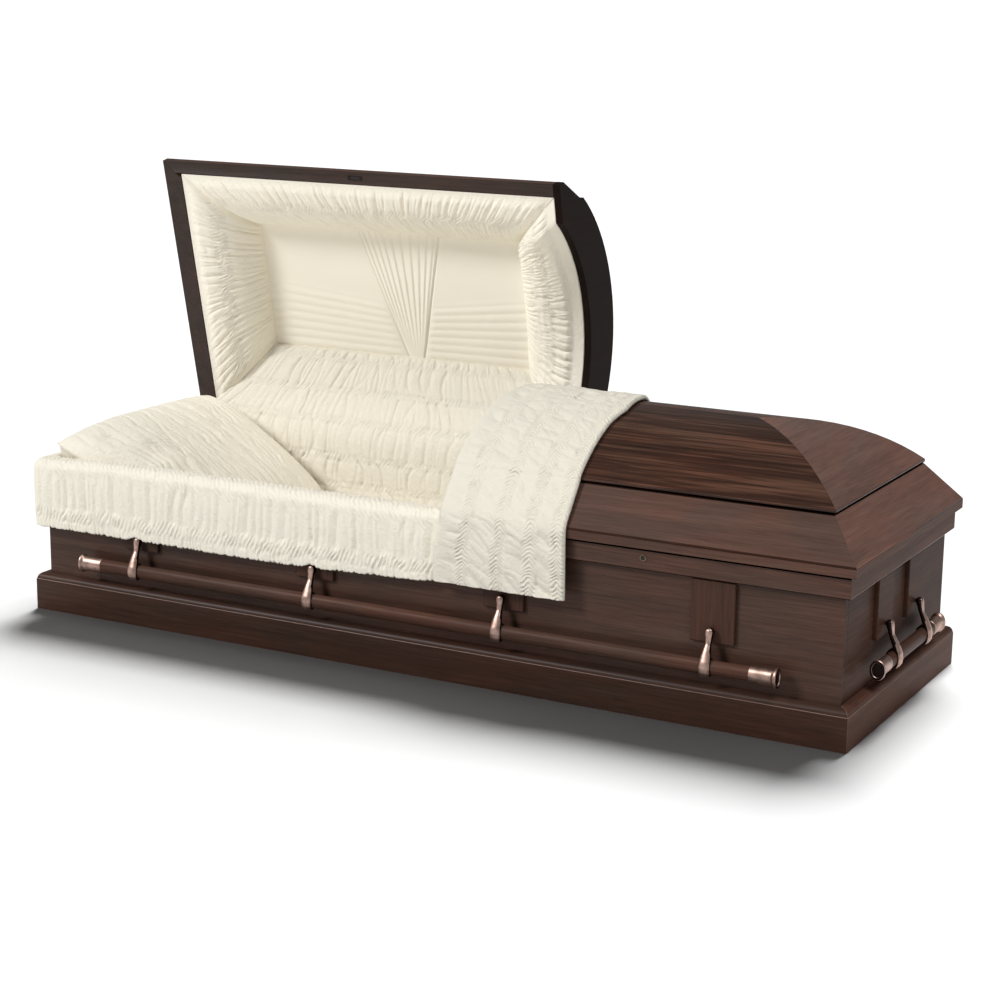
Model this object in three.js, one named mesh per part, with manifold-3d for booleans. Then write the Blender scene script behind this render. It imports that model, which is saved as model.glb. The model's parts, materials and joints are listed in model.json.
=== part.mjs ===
// Half-couch wooden funeral casket, in millimetres, +Z up.
// X runs along the casket with the foot end at +X, the front faces -Y, and the origin is
// the centre of the underside. The head lid stands open and the foot lid is shut.

import * as THREE from 'three';
import { mergeVertices } from 'three/addons/utils/BufferGeometryUtils.js';
import Module from 'manifold-3d';

const wasm = await Module();
wasm.setup();

// Driving dimensions of the body
const CLEARANCE = 0.3;
const PANEL_HALF_LENGTH = 1028;
const PANEL_HALF_WIDTH = 331.5;
const PANEL_THICKNESS = 20;
const BODY_TOP = 369.7;
const FLOOR_THICKNESS = 18;
const BASE_PROJECTION = 26;
const BASE_FACE_HEIGHT = 76;
const BASE_QUIRK = 1.2;
const BASE_ROUND = 15.5;
const RAIL_PROJECTION = 16.5;
const RAIL_BOTTOM = 321.5;
const RAIL_CHAMFER = 2.5;

// Driving dimensions of the lids
const LID_BOTTOM = 370.7;
const LID_HALF_WIDTH = 359.3;
const FASCIA_TOP = 392.6;
const BEVEL_TOP = 480.2;
const BEVEL_HALF_WIDTH = 289;
const BEVEL_TOP_WIDTH = 17;
const RIM_LEDGE = 31.5;
const END_RIM_LEDGE = 47;
const CROWN_HALF_WIDTH = 291.6;
const CROWN_HALF_LENGTH = 984.1;
const CROWN_BOTTOM = 480.5;
const CROWN_EDGE_TOP = 488.9;
const RIDGE_HEIGHT = 603;
const CROWN_THICKNESS = 18;
const END_STRETCH = 1.079;
const HEADER_THICKNESS = 18;
const ARCH_HALF_SPAN = 263.5;
const ARCH_RISE = 102;
const HEAD_LID_SPLIT = 93;
const FOOT_LID_SPLIT = 103;
const HEAD_LID_OPEN = THREE.MathUtils.degToRad(77.45);
const ARC_STEPS = 12;

// Continuous hinge along the back
const HINGE_Y = 352.5;
const HINGE_Z = 367.2;
const KNUCKLE_RADIUS = 3;
const KNUCKLE_LENGTH = 150;
const HINGE_HALF_LENGTH = 1000;
const LEAF_THICKNESS = 1.6;
const BODY_LEAF_BOTTOM = 340;
const KNUCKLE_ROOM = 0.6;
const KNUCKLE_SIDES = 8;
const LEAF_END_GAP = 2;

// Cloth lining, bed, pillow and drapes
const LINING_THICKNESS = 12;
const LINING_TOP = 366;
const BED_TOP = 150;
const LID_PANEL_HEIGHT = 490;
const LID_PANEL_HALF_WIDTH = 168;
const LID_ROLL_WIDTH = 150;
const LID_ROLL_BULGE = 17;
const LID_LINING_THICKNESS = 10;
const LINING_LIP = 10;
const PILLOW_HALF_WIDTH = 288;
const PILLOW_SIDE_TAPER = 50;
const APRON_THICKNESS = 20;
const APRON_TOP = 386;
const APRON_HEM = 229;
const APRON_END = 93;
const APRON_HEAD_RETURN = 320;
const OVERLAY_THICKNESS = 11;
const OVERLAY_HEM = 232;
const OVERLAY_START = 94;
const OVERLAY_FOLD_WIDTH = 42;
const OVERLAY_FRONT_END = 394;
const OVERLAY_TOP_END = 442;
const OVERLAY_BACK_END = 215;

// Swing-bar handles: distances are measured outwards from the body panel
const PLATE_WIDTH = 100;
const PLATE_THICKNESS = 10;
const PLATE_BOTTOM = 184;
const PLATE_TOP = 319;
const PLATE_BEVEL = 2;
const PIVOT_OUT = 21;
const PIVOT_Z = 212;
const PIN_RADIUS = 3;
const PIN_HOLE_RADIUS = 3.5;
const PIN_SIDES = 8;
const LUG_WIDTH = 6;
const FORK_SLOT = 7;
const EYE_RADIUS = 9.5;
const BAR_OUT = 33;
const BAR_Z = 138.5;
const BAR_HALF_HEIGHT = 16.5;
const BAR_FLATNESS = 0.78;
const RING_RADIUS = 21;
const BAR_SIDES = 12;
const TIP_SIDES = 14;
const TIP_LENGTH = 62;
const TIP_FLANGE = 22.5;
const SIDE_BAR_HALF = 902;
const SIDE_ARMS = [-742, -246, 246, 742];
const END_BAR_HALF = 208;
const END_ARMS = [-101, 101];

// Materials
const finish = (color, roughness, metalness) =>
  () => new THREE.MeshStandardMaterial({ color, roughness, metalness });
const stainedWood = finish(0x3a241b, 0.4, 0);
const barWood = finish(0x46302a, 0.35, 0);
const antiqueCopper = finish(0xa8755c, 0.35, 1);
const hingeBrass = finish(0x8a6f45, 0.4, 1);
const crepe = finish(0xefe8d6, 0.9, 0);

const casket = new THREE.Group();

function place(name, geometry, material, parent = casket) {
  const mesh = new THREE.Mesh(geometry, material());
  mesh.name = name;
  parent.add(mesh);
  return mesh;
}

// Solids
function toSolid(geometry) {
  const bare = geometry.clone();
  bare.deleteAttribute('normal');
  bare.deleteAttribute('uv');
  const merged = mergeVertices(bare, 1e-4);
  return new wasm.Manifold(new wasm.Mesh({
    numProp: 3,
    vertProperties: new Float32Array(merged.attributes.position.array),
    triVerts: new Uint32Array(merged.index.array),
  }));
}

function toGeometry(solid) {
  const mesh = solid.getMesh();
  const geometry = new THREE.BufferGeometry();
  geometry.setAttribute('position', new THREE.BufferAttribute(mesh.vertProperties, 3));
  geometry.setIndex(new THREE.BufferAttribute(mesh.triVerts, 1));
  return geometry;
}

const join = (...parts) => toGeometry(parts.map(toSolid).reduce((a, b) => a.add(b)));
const cut = (body, ...tools) =>
  toGeometry(tools.map(toSolid).reduce((a, b) => a.subtract(b), toSolid(body)));
const common = (a, b) => toGeometry(toSolid(a).intersect(toSolid(b)));

function moveVertices(geometry, move) {
  const position = geometry.attributes.position;
  const point = new THREE.Vector3();
  for (let i = 0; i < position.count; i += 1) {
    move(point.fromBufferAttribute(position, i));
    position.setXYZ(i, point.x, point.y, point.z);
  }
  return geometry;
}

function extrude(points, depth) {
  const outline = new THREE.Shape(points.map(([u, v]) => new THREE.Vector2(u, v)));
  return new THREE.ExtrudeGeometry(outline, { depth, bevelEnabled: false, curveSegments: 1 });
}

// An outline of (y, z) points drawn out along X
function alongX(points, from, to) {
  const turn = new THREE.Matrix4().makeBasis(
    new THREE.Vector3(0, 1, 0), new THREE.Vector3(0, 0, 1), new THREE.Vector3(1, 0, 0));
  return extrude(points, to - from).applyMatrix4(turn).translate(from, 0, 0);
}

// An outline of (x, z) points drawn out along Y
function alongY(points, from, to) {
  const turn = new THREE.Matrix4().makeBasis(
    new THREE.Vector3(1, 0, 0), new THREE.Vector3(0, 0, 1), new THREE.Vector3(0, -1, 0));
  return extrude(points, to - from).applyMatrix4(turn).translate(0, to, 0);
}

function block([x0, x1], [y0, y1], [z0, z1]) {
  return new THREE.BoxGeometry(x1 - x0, y1 - y0, z1 - z0)
    .translate((x0 + x1) / 2, (y0 + y1) / 2, (z0 + z1) / 2);
}

function rodAlongX(radius, from, to, y, z, sides) {
  return new THREE.CylinderGeometry(radius, radius, to - from, sides)
    .rotateZ(Math.PI / 2).translate((from + to) / 2, y, z);
}

// A closed solid through rings of equal point count, capped at both ends
function loft(rings) {
  const count = rings[0].length;
  const vertices = rings.flat(2);
  const faces = [];
  for (let r = 0; r + 1 < rings.length; r += 1) {
    for (let i = 0; i < count; i += 1) {
      const a = r * count + i;
      const b = r * count + ((i + 1) % count);
      faces.push(a, b, b + count, a, b + count, a + count);
    }
  }
  const last = (rings.length - 1) * count;
  for (let i = 1; i + 1 < count; i += 1) {
    faces.push(0, i + 1, i, last, last + i, last + i + 1);
  }
  const geometry = new THREE.BufferGeometry();
  geometry.setAttribute('position', new THREE.Float32BufferAttribute(vertices, 3));
  geometry.setIndex(faces);
  return geometry;
}

// A board on one side of a rectangle. Its section is a list of (outward offset, z), its ends
// are mitred into the corners, and a square cut may replace one mitre.
const SIDES = {
  front: new THREE.Vector3(0, -1, 0),
  back: new THREE.Vector3(0, 1, 0),
  head: new THREE.Vector3(-1, 0, 0),
  foot: new THREE.Vector3(1, 0, 0),
};

function frameBoard(side, section, halfLength, halfWidth, options = {}) {
  const { endStretch = 1, squareCut = null, gap = CLEARANCE / 2 } = options;
  const outward = SIDES[side];
  const run = outward.clone().cross(new THREE.Vector3(0, 0, 1));
  const onEnd = outward.x !== 0;
  const reach = onEnd ? halfLength : halfWidth;
  const span = onEnd ? halfWidth : halfLength;
  const outScale = onEnd ? endStretch : 1;
  const runScale = onEnd ? 1 : endStretch;
  const runSign = onEnd ? run.y : run.x;
  return moveVertices(extrude(section, 1), (point) => {
    const { x: offset, y: height, z: end } = point;
    let along = (span + offset * runScale - gap) * (end > 0.5 ? 1 : -1);
    const world = along * runSign;
    if (squareCut && Math.sign(world) === squareCut.sign) along = squareCut.at * runSign;
    point.copy(outward).multiplyScalar(reach + offset * outScale).addScaledVector(run, along);
    point.z = height;
  });
}

// Points of an arc about (centreY, centreZ), angles in radians from +Y
function arcPoints(centreY, centreZ, radius, from, to, steps = ARC_STEPS) {
  return Array.from({ length: steps + 1 }, (_, i) => {
    const angle = from + ((to - from) * i) / steps;
    return [centreY + radius * Math.cos(angle), centreZ + radius * Math.sin(angle)];
  });
}

// Base moulding, panels, rail and floor
const baseSection = [
  [CLEARANCE, 0],
  [BASE_PROJECTION, 0],
  [BASE_PROJECTION, BASE_FACE_HEIGHT],
  ...arcPoints(BASE_PROJECTION - BASE_QUIRK - BASE_ROUND, BASE_FACE_HEIGHT, BASE_ROUND,
    0, Math.PI / 2, 5),
  [CLEARANCE, BASE_FACE_HEIGHT + BASE_ROUND],
];
const railSection = [
  [CLEARANCE, RAIL_BOTTOM],
  [RAIL_PROJECTION - RAIL_CHAMFER, RAIL_BOTTOM],
  [RAIL_PROJECTION, RAIL_BOTTOM + RAIL_CHAMFER],
  [RAIL_PROJECTION, BODY_TOP],
  [CLEARANCE, BODY_TOP],
];

for (const side of Object.keys(SIDES)) {
  place(`base_${side}`, frameBoard(side, baseSection, PANEL_HALF_LENGTH, PANEL_HALF_WIDTH),
    stainedWood);
  place(`rail_${side}`, frameBoard(side, railSection, PANEL_HALF_LENGTH, PANEL_HALF_WIDTH),
    stainedWood);
}

const innerLength = PANEL_HALF_LENGTH - PANEL_THICKNESS;
const innerWidth = PANEL_HALF_WIDTH - PANEL_THICKNESS;
for (const [name, sign] of [['front', -1], ['back', 1]]) {
  const faces = [sign * PANEL_HALF_WIDTH, sign * innerWidth].sort((a, b) => a - b);
  place(`side_${name}`, block([-PANEL_HALF_LENGTH, PANEL_HALF_LENGTH], faces, [0, BODY_TOP]),
    stainedWood);
}
for (const [name, sign] of [['head', -1], ['foot', 1]]) {
  const faces = [sign * PANEL_HALF_LENGTH, sign * innerLength].sort((a, b) => a - b);
  const width = innerWidth - CLEARANCE;
  place(`end_${name}`, block(faces, [-width, width], [0, BODY_TOP]), stainedWood);
}
place('floor_board', block(
  [CLEARANCE - innerLength, innerLength - CLEARANCE],
  [CLEARANCE - innerWidth, innerWidth - CLEARANCE],
  [0, FLOOR_THICKNESS]), stainedWood);

// Wall lining, bed and pillow
const liningLength = innerLength - CLEARANCE;
const liningWidth = innerWidth - CLEARANCE;
const liningBottom = FLOOR_THICKNESS + CLEARANCE;
const bedLength = liningLength - LINING_THICKNESS;
const bedWidth = liningWidth - LINING_THICKNESS;
place('wall_lining', cut(
  block([-liningLength, liningLength], [-liningWidth, liningWidth], [liningBottom, LINING_TOP]),
  block([-bedLength, bedLength], [-bedWidth, bedWidth], [0, LINING_TOP + 1])), crepe);

function rectangle(x0, x1, halfWidth, z) {
  return [[x0, -halfWidth, z], [x1, -halfWidth, z], [x1, halfWidth, z], [x0, halfWidth, z]];
}

function bed() {
  const length = bedLength - CLEARANCE;
  const width = bedWidth - CLEARANCE;
  const shoulder = 12;
  return loft([
    rectangle(-length, length, width, liningBottom),
    rectangle(-length, length, width, BED_TOP - shoulder),
    rectangle(shoulder - length, length - shoulder, width - shoulder, BED_TOP),
  ]);
}
place('mattress', bed(), crepe);

// The pillow leans from the bed up over the head end's rim: outline in (x, z)
const pillowOutline = [
  [-640, 151], [-596, 154], [-584, 174], [-605, 205], [-649, 240], [-698, 288], [-751, 337],
  [-817, 381], [-886, 423], [-940, 448], [-978, 455], [-1004, 437], [-1006, 412], [-988, 392],
];

function pillow() {
  const middle = pillowOutline.reduce((sum, [x, z]) => [sum[0] + x, sum[1] + z], [0, 0])
    .map((value) => value / pillowOutline.length);
  const ring = (y, scale) => pillowOutline.map(([x, z]) => [
    middle[0] + (x - middle[0]) * (0.35 + 0.65 * scale),
    y,
    middle[1] + (z - middle[1]) * (0.35 + 0.65 * scale),
  ]);
  const full = PILLOW_HALF_WIDTH - PILLOW_SIDE_TAPER;
  return loft([
    ring(PILLOW_HALF_WIDTH, 0.75), ring(full, 1), ring(-full, 1), ring(-PILLOW_HALF_WIDTH, 0.75),
  ]);
}
place('pillow', pillow(), crepe);

// Apron: a gathered cloth over the front rim of the head half and round the head end
function apron() {
  const inside = PANEL_THICKNESS + LINING_THICKNESS;
  const outside = RAIL_PROJECTION + 1;
  const section = [
    [outside, APRON_HEM],
    [outside + APRON_THICKNESS, APRON_HEM],
    [outside + APRON_THICKNESS, APRON_TOP - 9],
    [outside + APRON_THICKNESS - 9, APRON_TOP],
    [6 - inside, APRON_TOP],
    [-inside, APRON_TOP - 8],
    [-inside, BODY_TOP + 0.5],
    [outside, BODY_TOP + 0.5],
  ];
  const cutAt = (sign, at) => ({ squareCut: { sign, at }, gap: 0 });
  return join(
    frameBoard('front', section, PANEL_HALF_LENGTH, PANEL_HALF_WIDTH, cutAt(1, APRON_END)),
    frameBoard('head', section, PANEL_HALF_LENGTH, PANEL_HALF_WIDTH,
      cutAt(1, APRON_HEAD_RETURN)));
}
place('front_apron', apron(), crepe);

// Lids: the section of a lid across the casket, from the front rim over the crown to the back
const crownRise = RIDGE_HEIGHT - CROWN_EDGE_TOP;
const crownRadius = (CROWN_HALF_WIDTH ** 2 + crownRise ** 2) / (2 * crownRise);
const crownCentreZ = RIDGE_HEIGHT - crownRadius;
const archRadius = (ARCH_HALF_SPAN ** 2 + ARCH_RISE ** 2) / (2 * ARCH_RISE);
const hipStart = CROWN_HALF_LENGTH - CROWN_HALF_WIDTH;

const mirrored = (points) => points.map(([y, z]) => [-y, z]).reverse();

// Half outline of the crown above its bottom plane, from the edge at +Y to the ridge
function crownHalf(inset) {
  const radius = crownRadius - inset;
  const start = inset > 0
    ? Math.asin((CROWN_BOTTOM - crownCentreZ) / radius)
    : Math.asin((CROWN_EDGE_TOP - crownCentreZ) / radius);
  const arc = arcPoints(0, crownCentreZ, radius, start, Math.PI / 2);
  return inset > 0 ? arc : [[CROWN_HALF_WIDTH, CROWN_BOTTOM], ...arc];
}

// The crown is a barrel vault cut by a matching vault at its closed end, which gives the hips
function crownVolume(inset, from, to, endSign) {
  const half = crownHalf(inset);
  const vault = alongX([...half, ...mirrored(half).slice(1)], from, to);
  const endOutline = [
    [0, CROWN_BOTTOM],
    ...half.map(([y, z]) => [endSign * (hipStart + y), z]),
    [0, RIDGE_HEIGHT - inset],
  ];
  const split = endSign < 0 ? to : from;
  endOutline[0][0] = split;
  endOutline[endOutline.length - 1][0] = split;
  return common(vault, alongY(endOutline, -CROWN_HALF_WIDTH - 1, CROWN_HALF_WIDTH + 1));
}

function crown(split, endSign) {
  const range = endSign < 0 ? [-CROWN_HALF_LENGTH, split] : [split, CROWN_HALF_LENGTH];
  const overshoot = endSign < 0 ? [range[0], split + 1] : [split - 1, range[1]];
  return cut(crownVolume(0, ...range, endSign),
    crownVolume(CROWN_THICKNESS, ...overshoot, endSign));
}

// Rim board: a fascia with a broad bevel rising to the crown
function rimSection(ledge) {
  const fascia = LID_HALF_WIDTH - CROWN_HALF_WIDTH;
  const bevelEdge = BEVEL_HALF_WIDTH - CROWN_HALF_WIDTH;
  const slope = (BEVEL_TOP - FASCIA_TOP) / (fascia - bevelEdge);
  const inner = fascia - ledge;
  const innerTop = bevelEdge - BEVEL_TOP_WIDTH;
  return [
    [inner, LID_BOTTOM],
    [fascia, LID_BOTTOM],
    [fascia, FASCIA_TOP],
    [bevelEdge, BEVEL_TOP],
    [innerTop, BEVEL_TOP],
    [inner, BEVEL_TOP - slope * (inner - innerTop)],
  ];
}

// End board of a lid at the split: the lid's outline with an arch cut from its underside
function header(from, to) {
  const halfOutline = [
    [LID_HALF_WIDTH, LID_BOTTOM],
    [LID_HALF_WIDTH, FASCIA_TOP],
    [BEVEL_HALF_WIDTH, BEVEL_TOP],
    ...crownHalf(0),
  ];
  const archStart = Math.asin((archRadius - ARCH_RISE) / archRadius);
  const archHalf = arcPoints(0, LID_BOTTOM + ARCH_RISE - archRadius, archRadius,
    archStart, Math.PI / 2);
  return alongX([
    ...halfOutline, ...mirrored(halfOutline).slice(1),
    ...mirrored(archHalf).reverse(), ...archHalf.reverse().slice(1),
  ], from, to);
}

// Padded tray inside a lid: a puffed roll all round a flat panel
function lidLining(x0, x1) {
  const bottom = LID_BOTTOM + 0.6;
  const rimHalf = LID_HALF_WIDTH - RIM_LEDGE - CLEARANCE;
  const panel = [x0 + LID_ROLL_WIDTH, x1 - LID_ROLL_WIDTH];
  const skin = LID_LINING_THICKNESS;
  const outer = loft([
    rectangle(x0, x1, rimHalf, bottom),
    rectangle(x0 + 3, x1 - 3, rimHalf - 3, bottom + 14),
    rectangle(panel[0] - 15, panel[1] + 15, LID_PANEL_HALF_WIDTH + 15, LID_PANEL_HEIGHT + skin),
  ]);
  const midX = (LID_ROLL_WIDTH + LINING_LIP) / 2 + LID_ROLL_BULGE;
  const midHalf = (rimHalf - LINING_LIP + LID_PANEL_HALF_WIDTH) / 2 - LID_ROLL_BULGE;
  const midZ = (bottom + LID_PANEL_HEIGHT) / 2 - LID_ROLL_BULGE;
  const hollow = loft([
    rectangle(x0 + LINING_LIP, x1 - LINING_LIP, rimHalf - LINING_LIP, bottom - 1),
    rectangle(x0 + midX, x1 - midX, midHalf, midZ),
    rectangle(panel[0], panel[1], LID_PANEL_HALF_WIDTH, LID_PANEL_HEIGHT),
  ]);
  return cut(outer, hollow);
}

// Hinge leaf with every second knuckle, belonging to the body or to a lid
function hingeLeaf(from, to, parity, leafStrip, tabAt) {
  const pieces = [leafStrip];
  for (let i = 0; i * KNUCKLE_LENGTH < 2 * HINGE_HALF_LENGTH; i += 1) {
    const start = Math.max(-HINGE_HALF_LENGTH + i * KNUCKLE_LENGTH + CLEARANCE, from);
    const end = Math.min(-HINGE_HALF_LENGTH + (i + 1) * KNUCKLE_LENGTH - CLEARANCE, to);
    if (i % 2 === parity && end - start > 20) {
      pieces.push(rodAlongX(KNUCKLE_RADIUS, start, end, HINGE_Y, HINGE_Z, KNUCKLE_SIDES));
      pieces.push(tabAt(start, end));
    }
  }
  return join(...pieces);
}

const bodyLeafFace = PANEL_HALF_WIDTH + RAIL_PROJECTION + CLEARANCE;
const knuckleReach = KNUCKLE_RADIUS + KNUCKLE_ROOM;
place('hinge_body', hingeLeaf(-HINGE_HALF_LENGTH, HINGE_HALF_LENGTH, 0,
  block([-HINGE_HALF_LENGTH, HINGE_HALF_LENGTH],
    [bodyLeafFace, bodyLeafFace + LEAF_THICKNESS], [BODY_LEAF_BOTTOM, HINGE_Z - knuckleReach]),
  (start, end) => block([start, end],
    [bodyLeafFace, bodyLeafFace + LEAF_THICKNESS],
    [HINGE_Z - knuckleReach - 1, HINGE_Z])), hingeBrass);

function lidHinge(from, to) {
  const leafZ = [LID_BOTTOM - CLEARANCE - LEAF_THICKNESS, LID_BOTTOM - CLEARANCE];
  return hingeLeaf(from, to, 1,
    block([from, to], [HINGE_Y + knuckleReach, LID_HALF_WIDTH - KNUCKLE_ROOM], leafZ),
    (start, end) => block([start, end], [HINGE_Y, HINGE_Y + knuckleReach + 1], leafZ));
}

// A lid is built shut, in a group whose origin is the hinge line
function buildLid(name, split, endSign, openAngle) {
  const hinge = new THREE.Group();
  hinge.position.set(0, HINGE_Y, HINGE_Z);
  hinge.rotation.x = -openAngle;
  const shut = new THREE.Group();
  shut.position.set(0, -HINGE_Y, -HINGE_Z);
  hinge.add(shut);
  casket.add(hinge);

  const shellEnd = split + endSign * (HEADER_THICKNESS + CLEARANCE);
  const boards = { endStretch: END_STRETCH };
  const squared = { ...boards, squareCut: { sign: -endSign, at: shellEnd } };
  for (const side of ['front', 'back']) {
    place(`${name}_rim_${side}`,
      frameBoard(side, rimSection(RIM_LEDGE), CROWN_HALF_LENGTH, CROWN_HALF_WIDTH, squared),
      stainedWood, shut);
  }
  place(`${name}_rim_end`, frameBoard(endSign < 0 ? 'head' : 'foot', rimSection(END_RIM_LEDGE),
    CROWN_HALF_LENGTH, CROWN_HALF_WIDTH, boards), stainedWood, shut);
  place(`${name}_crown`, crown(shellEnd, endSign), stainedWood, shut);

  const faces = [split, split + endSign * HEADER_THICKNESS].sort((a, b) => a - b);
  place(`${name}_header`, header(...faces), stainedWood, shut);

  const endLedge = (LID_HALF_WIDTH - CROWN_HALF_WIDTH - END_RIM_LEDGE) * END_STRETCH;
  const liningEnds = [shellEnd, endSign * (CROWN_HALF_LENGTH + endLedge - CLEARANCE)];
  place(`${name}_lining`, lidLining(...liningEnds.sort((a, b) => a - b)), crepe, shut);

  const hingeEnds = [split + endSign * LEAF_END_GAP, endSign * HINGE_HALF_LENGTH];
  place(`${name}_hinge`, lidHinge(...hingeEnds.sort((a, b) => a - b)), hingeBrass, shut);
  return shut;
}

buildLid('head_lid', HEAD_LID_SPLIT, -1, HEAD_LID_OPEN);
const footLid = buildLid('foot_lid', FOOT_LID_SPLIT, 1, 0);

// Overlay: a throw folded over the foot lid's edge, hanging down in front of the rail
function lidOutline(offset) {
  const radius = crownRadius + offset;
  const start = Math.asin((CROWN_EDGE_TOP + offset * 0.7 - crownCentreZ) / radius);
  return [
    [LID_HALF_WIDTH + offset, FASCIA_TOP + offset * 0.4],
    [BEVEL_HALF_WIDTH + offset * 0.9, BEVEL_TOP + offset * 0.7],
    ...arcPoints(0, crownCentreZ, radius, start, Math.PI / 2),
  ];
}

// Outline of the throw at a given offset, from its front hem over the ridge to its back end
function throwLine(offset) {
  const half = lidOutline(offset);
  const line = [[-LID_HALF_WIDTH - offset, OVERLAY_HEM], ...mirrored(half).reverse()];
  const over = [...half].reverse().slice(1).filter(([y]) => y < OVERLAY_BACK_END);
  return [...line, ...over];
}

function overlay() {
  const lidGap = 3.2;
  const outer = throwLine(lidGap + OVERLAY_THICKNESS);
  const sheet = alongX([...outer, ...throwLine(lidGap).reverse()],
    OVERLAY_START, OVERLAY_FRONT_END);
  const slanted = moveVertices(sheet, (point) => {
    const rise = THREE.MathUtils.smoothstep(point.y, -LID_HALF_WIDTH, -CROWN_HALF_WIDTH);
    if (point.x > OVERLAY_START + 1) {
      point.x += (OVERLAY_TOP_END - OVERLAY_FRONT_END) * rise;
    }
  });
  const fold = alongX([
    ...throwLine(lidGap + 2).slice(1), ...throwLine(-OVERLAY_FOLD_WIDTH).slice(1).reverse(),
  ], OVERLAY_START, FOOT_LID_SPLIT - CLEARANCE);
  return join(slanted, fold);
}
place('overlay', overlay(), crepe, footLid);

// Swing-bar handles, built for the front and turned to each side.
// In this frame the panel face is the plane y = 0 and outwards is -Y.
function handlePlate(x) {
  const lower = PLATE_WIDTH / 2;
  const upper = lower - PLATE_BEVEL;
  const ring = (half, top, bottom, out) => [
    [x - half, -out, bottom], [x + half, -out, bottom], [x + half, -out, top], [x - half, -out, top],
  ];
  const plate = loft([
    ring(lower, PLATE_TOP, PLATE_BOTTOM, CLEARANCE),
    ring(lower, PLATE_TOP, PLATE_BOTTOM, PLATE_THICKNESS - PLATE_BEVEL),
    ring(upper, PLATE_TOP - PLATE_BEVEL, PLATE_BOTTOM + PLATE_BEVEL, PLATE_THICKNESS),
  ]);
  const lug = block([x - LUG_WIDTH / 2, x + LUG_WIDTH / 2],
    [-PIVOT_OUT - PIN_RADIUS - 1, -PLATE_THICKNESS + 1],
    [PIVOT_Z - PIN_RADIUS - 1, PIVOT_Z + PIN_RADIUS + 1]);
  const pin = rodAlongX(PIN_RADIUS, x - EYE_RADIUS + 1, x + EYE_RADIUS - 1,
    -PIVOT_OUT, PIVOT_Z, PIN_SIDES);
  return join(plate, lug, pin);
}

// Width of an arm along the bar: a knob at the pivot, a slim neck and a broad foot
function armWidth(z) {
  const stations = [[BAR_Z - RING_RADIUS, 21], [BAR_Z, 27], [168, 21], [188, 13], [202, 17]];
  const next = stations.findIndex(([height]) => z < height);
  if (next === 0) return stations[0][1];
  if (next < 0) return stations[stations.length - 1][1];
  const [z0, w0] = stations[next - 1];
  const [z1, w1] = stations[next];
  return w0 + ((w1 - w0) * (z - z0)) / (z1 - z0);
}

function handleArm(x, ringHole) {
  const rad = THREE.MathUtils.degToRad;
  const outline = [
    ...arcPoints(PIVOT_OUT, PIVOT_Z, EYE_RADIUS, rad(-30), rad(215), 6),
    [19, 190], [18, 168],
    ...arcPoints(BAR_OUT, BAR_Z, RING_RADIUS, rad(130), rad(405), 11),
    [37, 170], [31, 190],
  ];
  const shape = alongX(outline.map(([out, z]) => [-out, z]), -0.5, 0.5);
  const arm = moveVertices(shape, (point) => {
    point.x = x + point.x * armWidth(point.z);
  });
  const slot = block([x - FORK_SLOT / 2, x + FORK_SLOT / 2],
    [-PIVOT_OUT - PIN_RADIUS - 3, 0], [PIVOT_Z - 12, PIVOT_Z + EYE_RADIUS + 2]);
  const pinHole = rodAlongX(PIN_HOLE_RADIUS, x - RING_RADIUS, x + RING_RADIUS, -PIVOT_OUT, PIVOT_Z,
    PIN_SIDES);
  const tools = [slot, pinHole];
  if (ringHole) {
    tools.push(barRod(BAR_HALF_HEIGHT + 2 * CLEARANCE, x - RING_RADIUS, x + RING_RADIUS));
  }
  return cut(arm, ...tools);
}

// The bar is an oval rod, taller than it is deep
function barRod(halfHeight, from, to) {
  const outline = Array.from({ length: BAR_SIDES }, (_, i) => {
    const angle = ((i + 0.5) * 2 * Math.PI) / BAR_SIDES;
    const halfDepth = BAR_FLATNESS * halfHeight;
    return [-BAR_OUT + halfDepth * Math.cos(angle), BAR_Z + halfHeight * Math.sin(angle)];
  });
  return alongX(outline, from, to);
}

function barTip(sign, barHalf) {
  const sleeve = BAR_HALF_HEIGHT + 1.2;
  const flange = 9;
  const profile = [
    [0, 0], [sleeve, 0], [sleeve, TIP_LENGTH - flange], [sleeve - 1.5, TIP_LENGTH - flange + 1],
    [TIP_FLANGE, TIP_LENGTH - flange + 3], [TIP_FLANGE, TIP_LENGTH - 1.5],
    [TIP_FLANGE - 1.5, TIP_LENGTH], [TIP_FLANGE - 6, TIP_LENGTH],
    [TIP_FLANGE - 7, TIP_LENGTH - 2], [0, TIP_LENGTH - 2],
  ];
  return new THREE.LatheGeometry(profile.map(([r, h]) => new THREE.Vector2(r, h)), TIP_SIDES)
    .rotateZ(-sign * Math.PI / 2)
    .scale(1, BAR_FLATNESS, 1)
    .translate(sign * (barHalf - TIP_LENGTH), -BAR_OUT, BAR_Z);
}

function buildHandle(name, reach, turn, barHalf, armsAt, fused) {
  const side = new THREE.Group();
  side.rotation.z = turn;
  casket.add(side);
  const onPanel = new THREE.Group();
  onPanel.position.y = -reach;
  side.add(onPanel);

  armsAt.forEach((x, i) => place(`${name}_plate_${i + 1}`, handlePlate(x), stainedWood, onPanel));
  const barEnd = barHalf - TIP_LENGTH;
  if (fused) {
    place(`${name}_handle`, join(barRod(BAR_HALF_HEIGHT, -barEnd - 1, barEnd + 1),
      barTip(-1, barHalf), barTip(1, barHalf), ...armsAt.map((x) => handleArm(x, false))),
    barWood, onPanel);
    return;
  }
  place(`${name}_bar`, barRod(BAR_HALF_HEIGHT, CLEARANCE - barEnd, barEnd - CLEARANCE), barWood,
    onPanel);
  place(`${name}_tip_1`, barTip(-1, barHalf), antiqueCopper, onPanel);
  place(`${name}_tip_2`, barTip(1, barHalf), antiqueCopper, onPanel);
  armsAt.forEach((x, i) => place(`${name}_arm_${i + 1}`, handleArm(x, true), antiqueCopper,
    onPanel));
}

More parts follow.
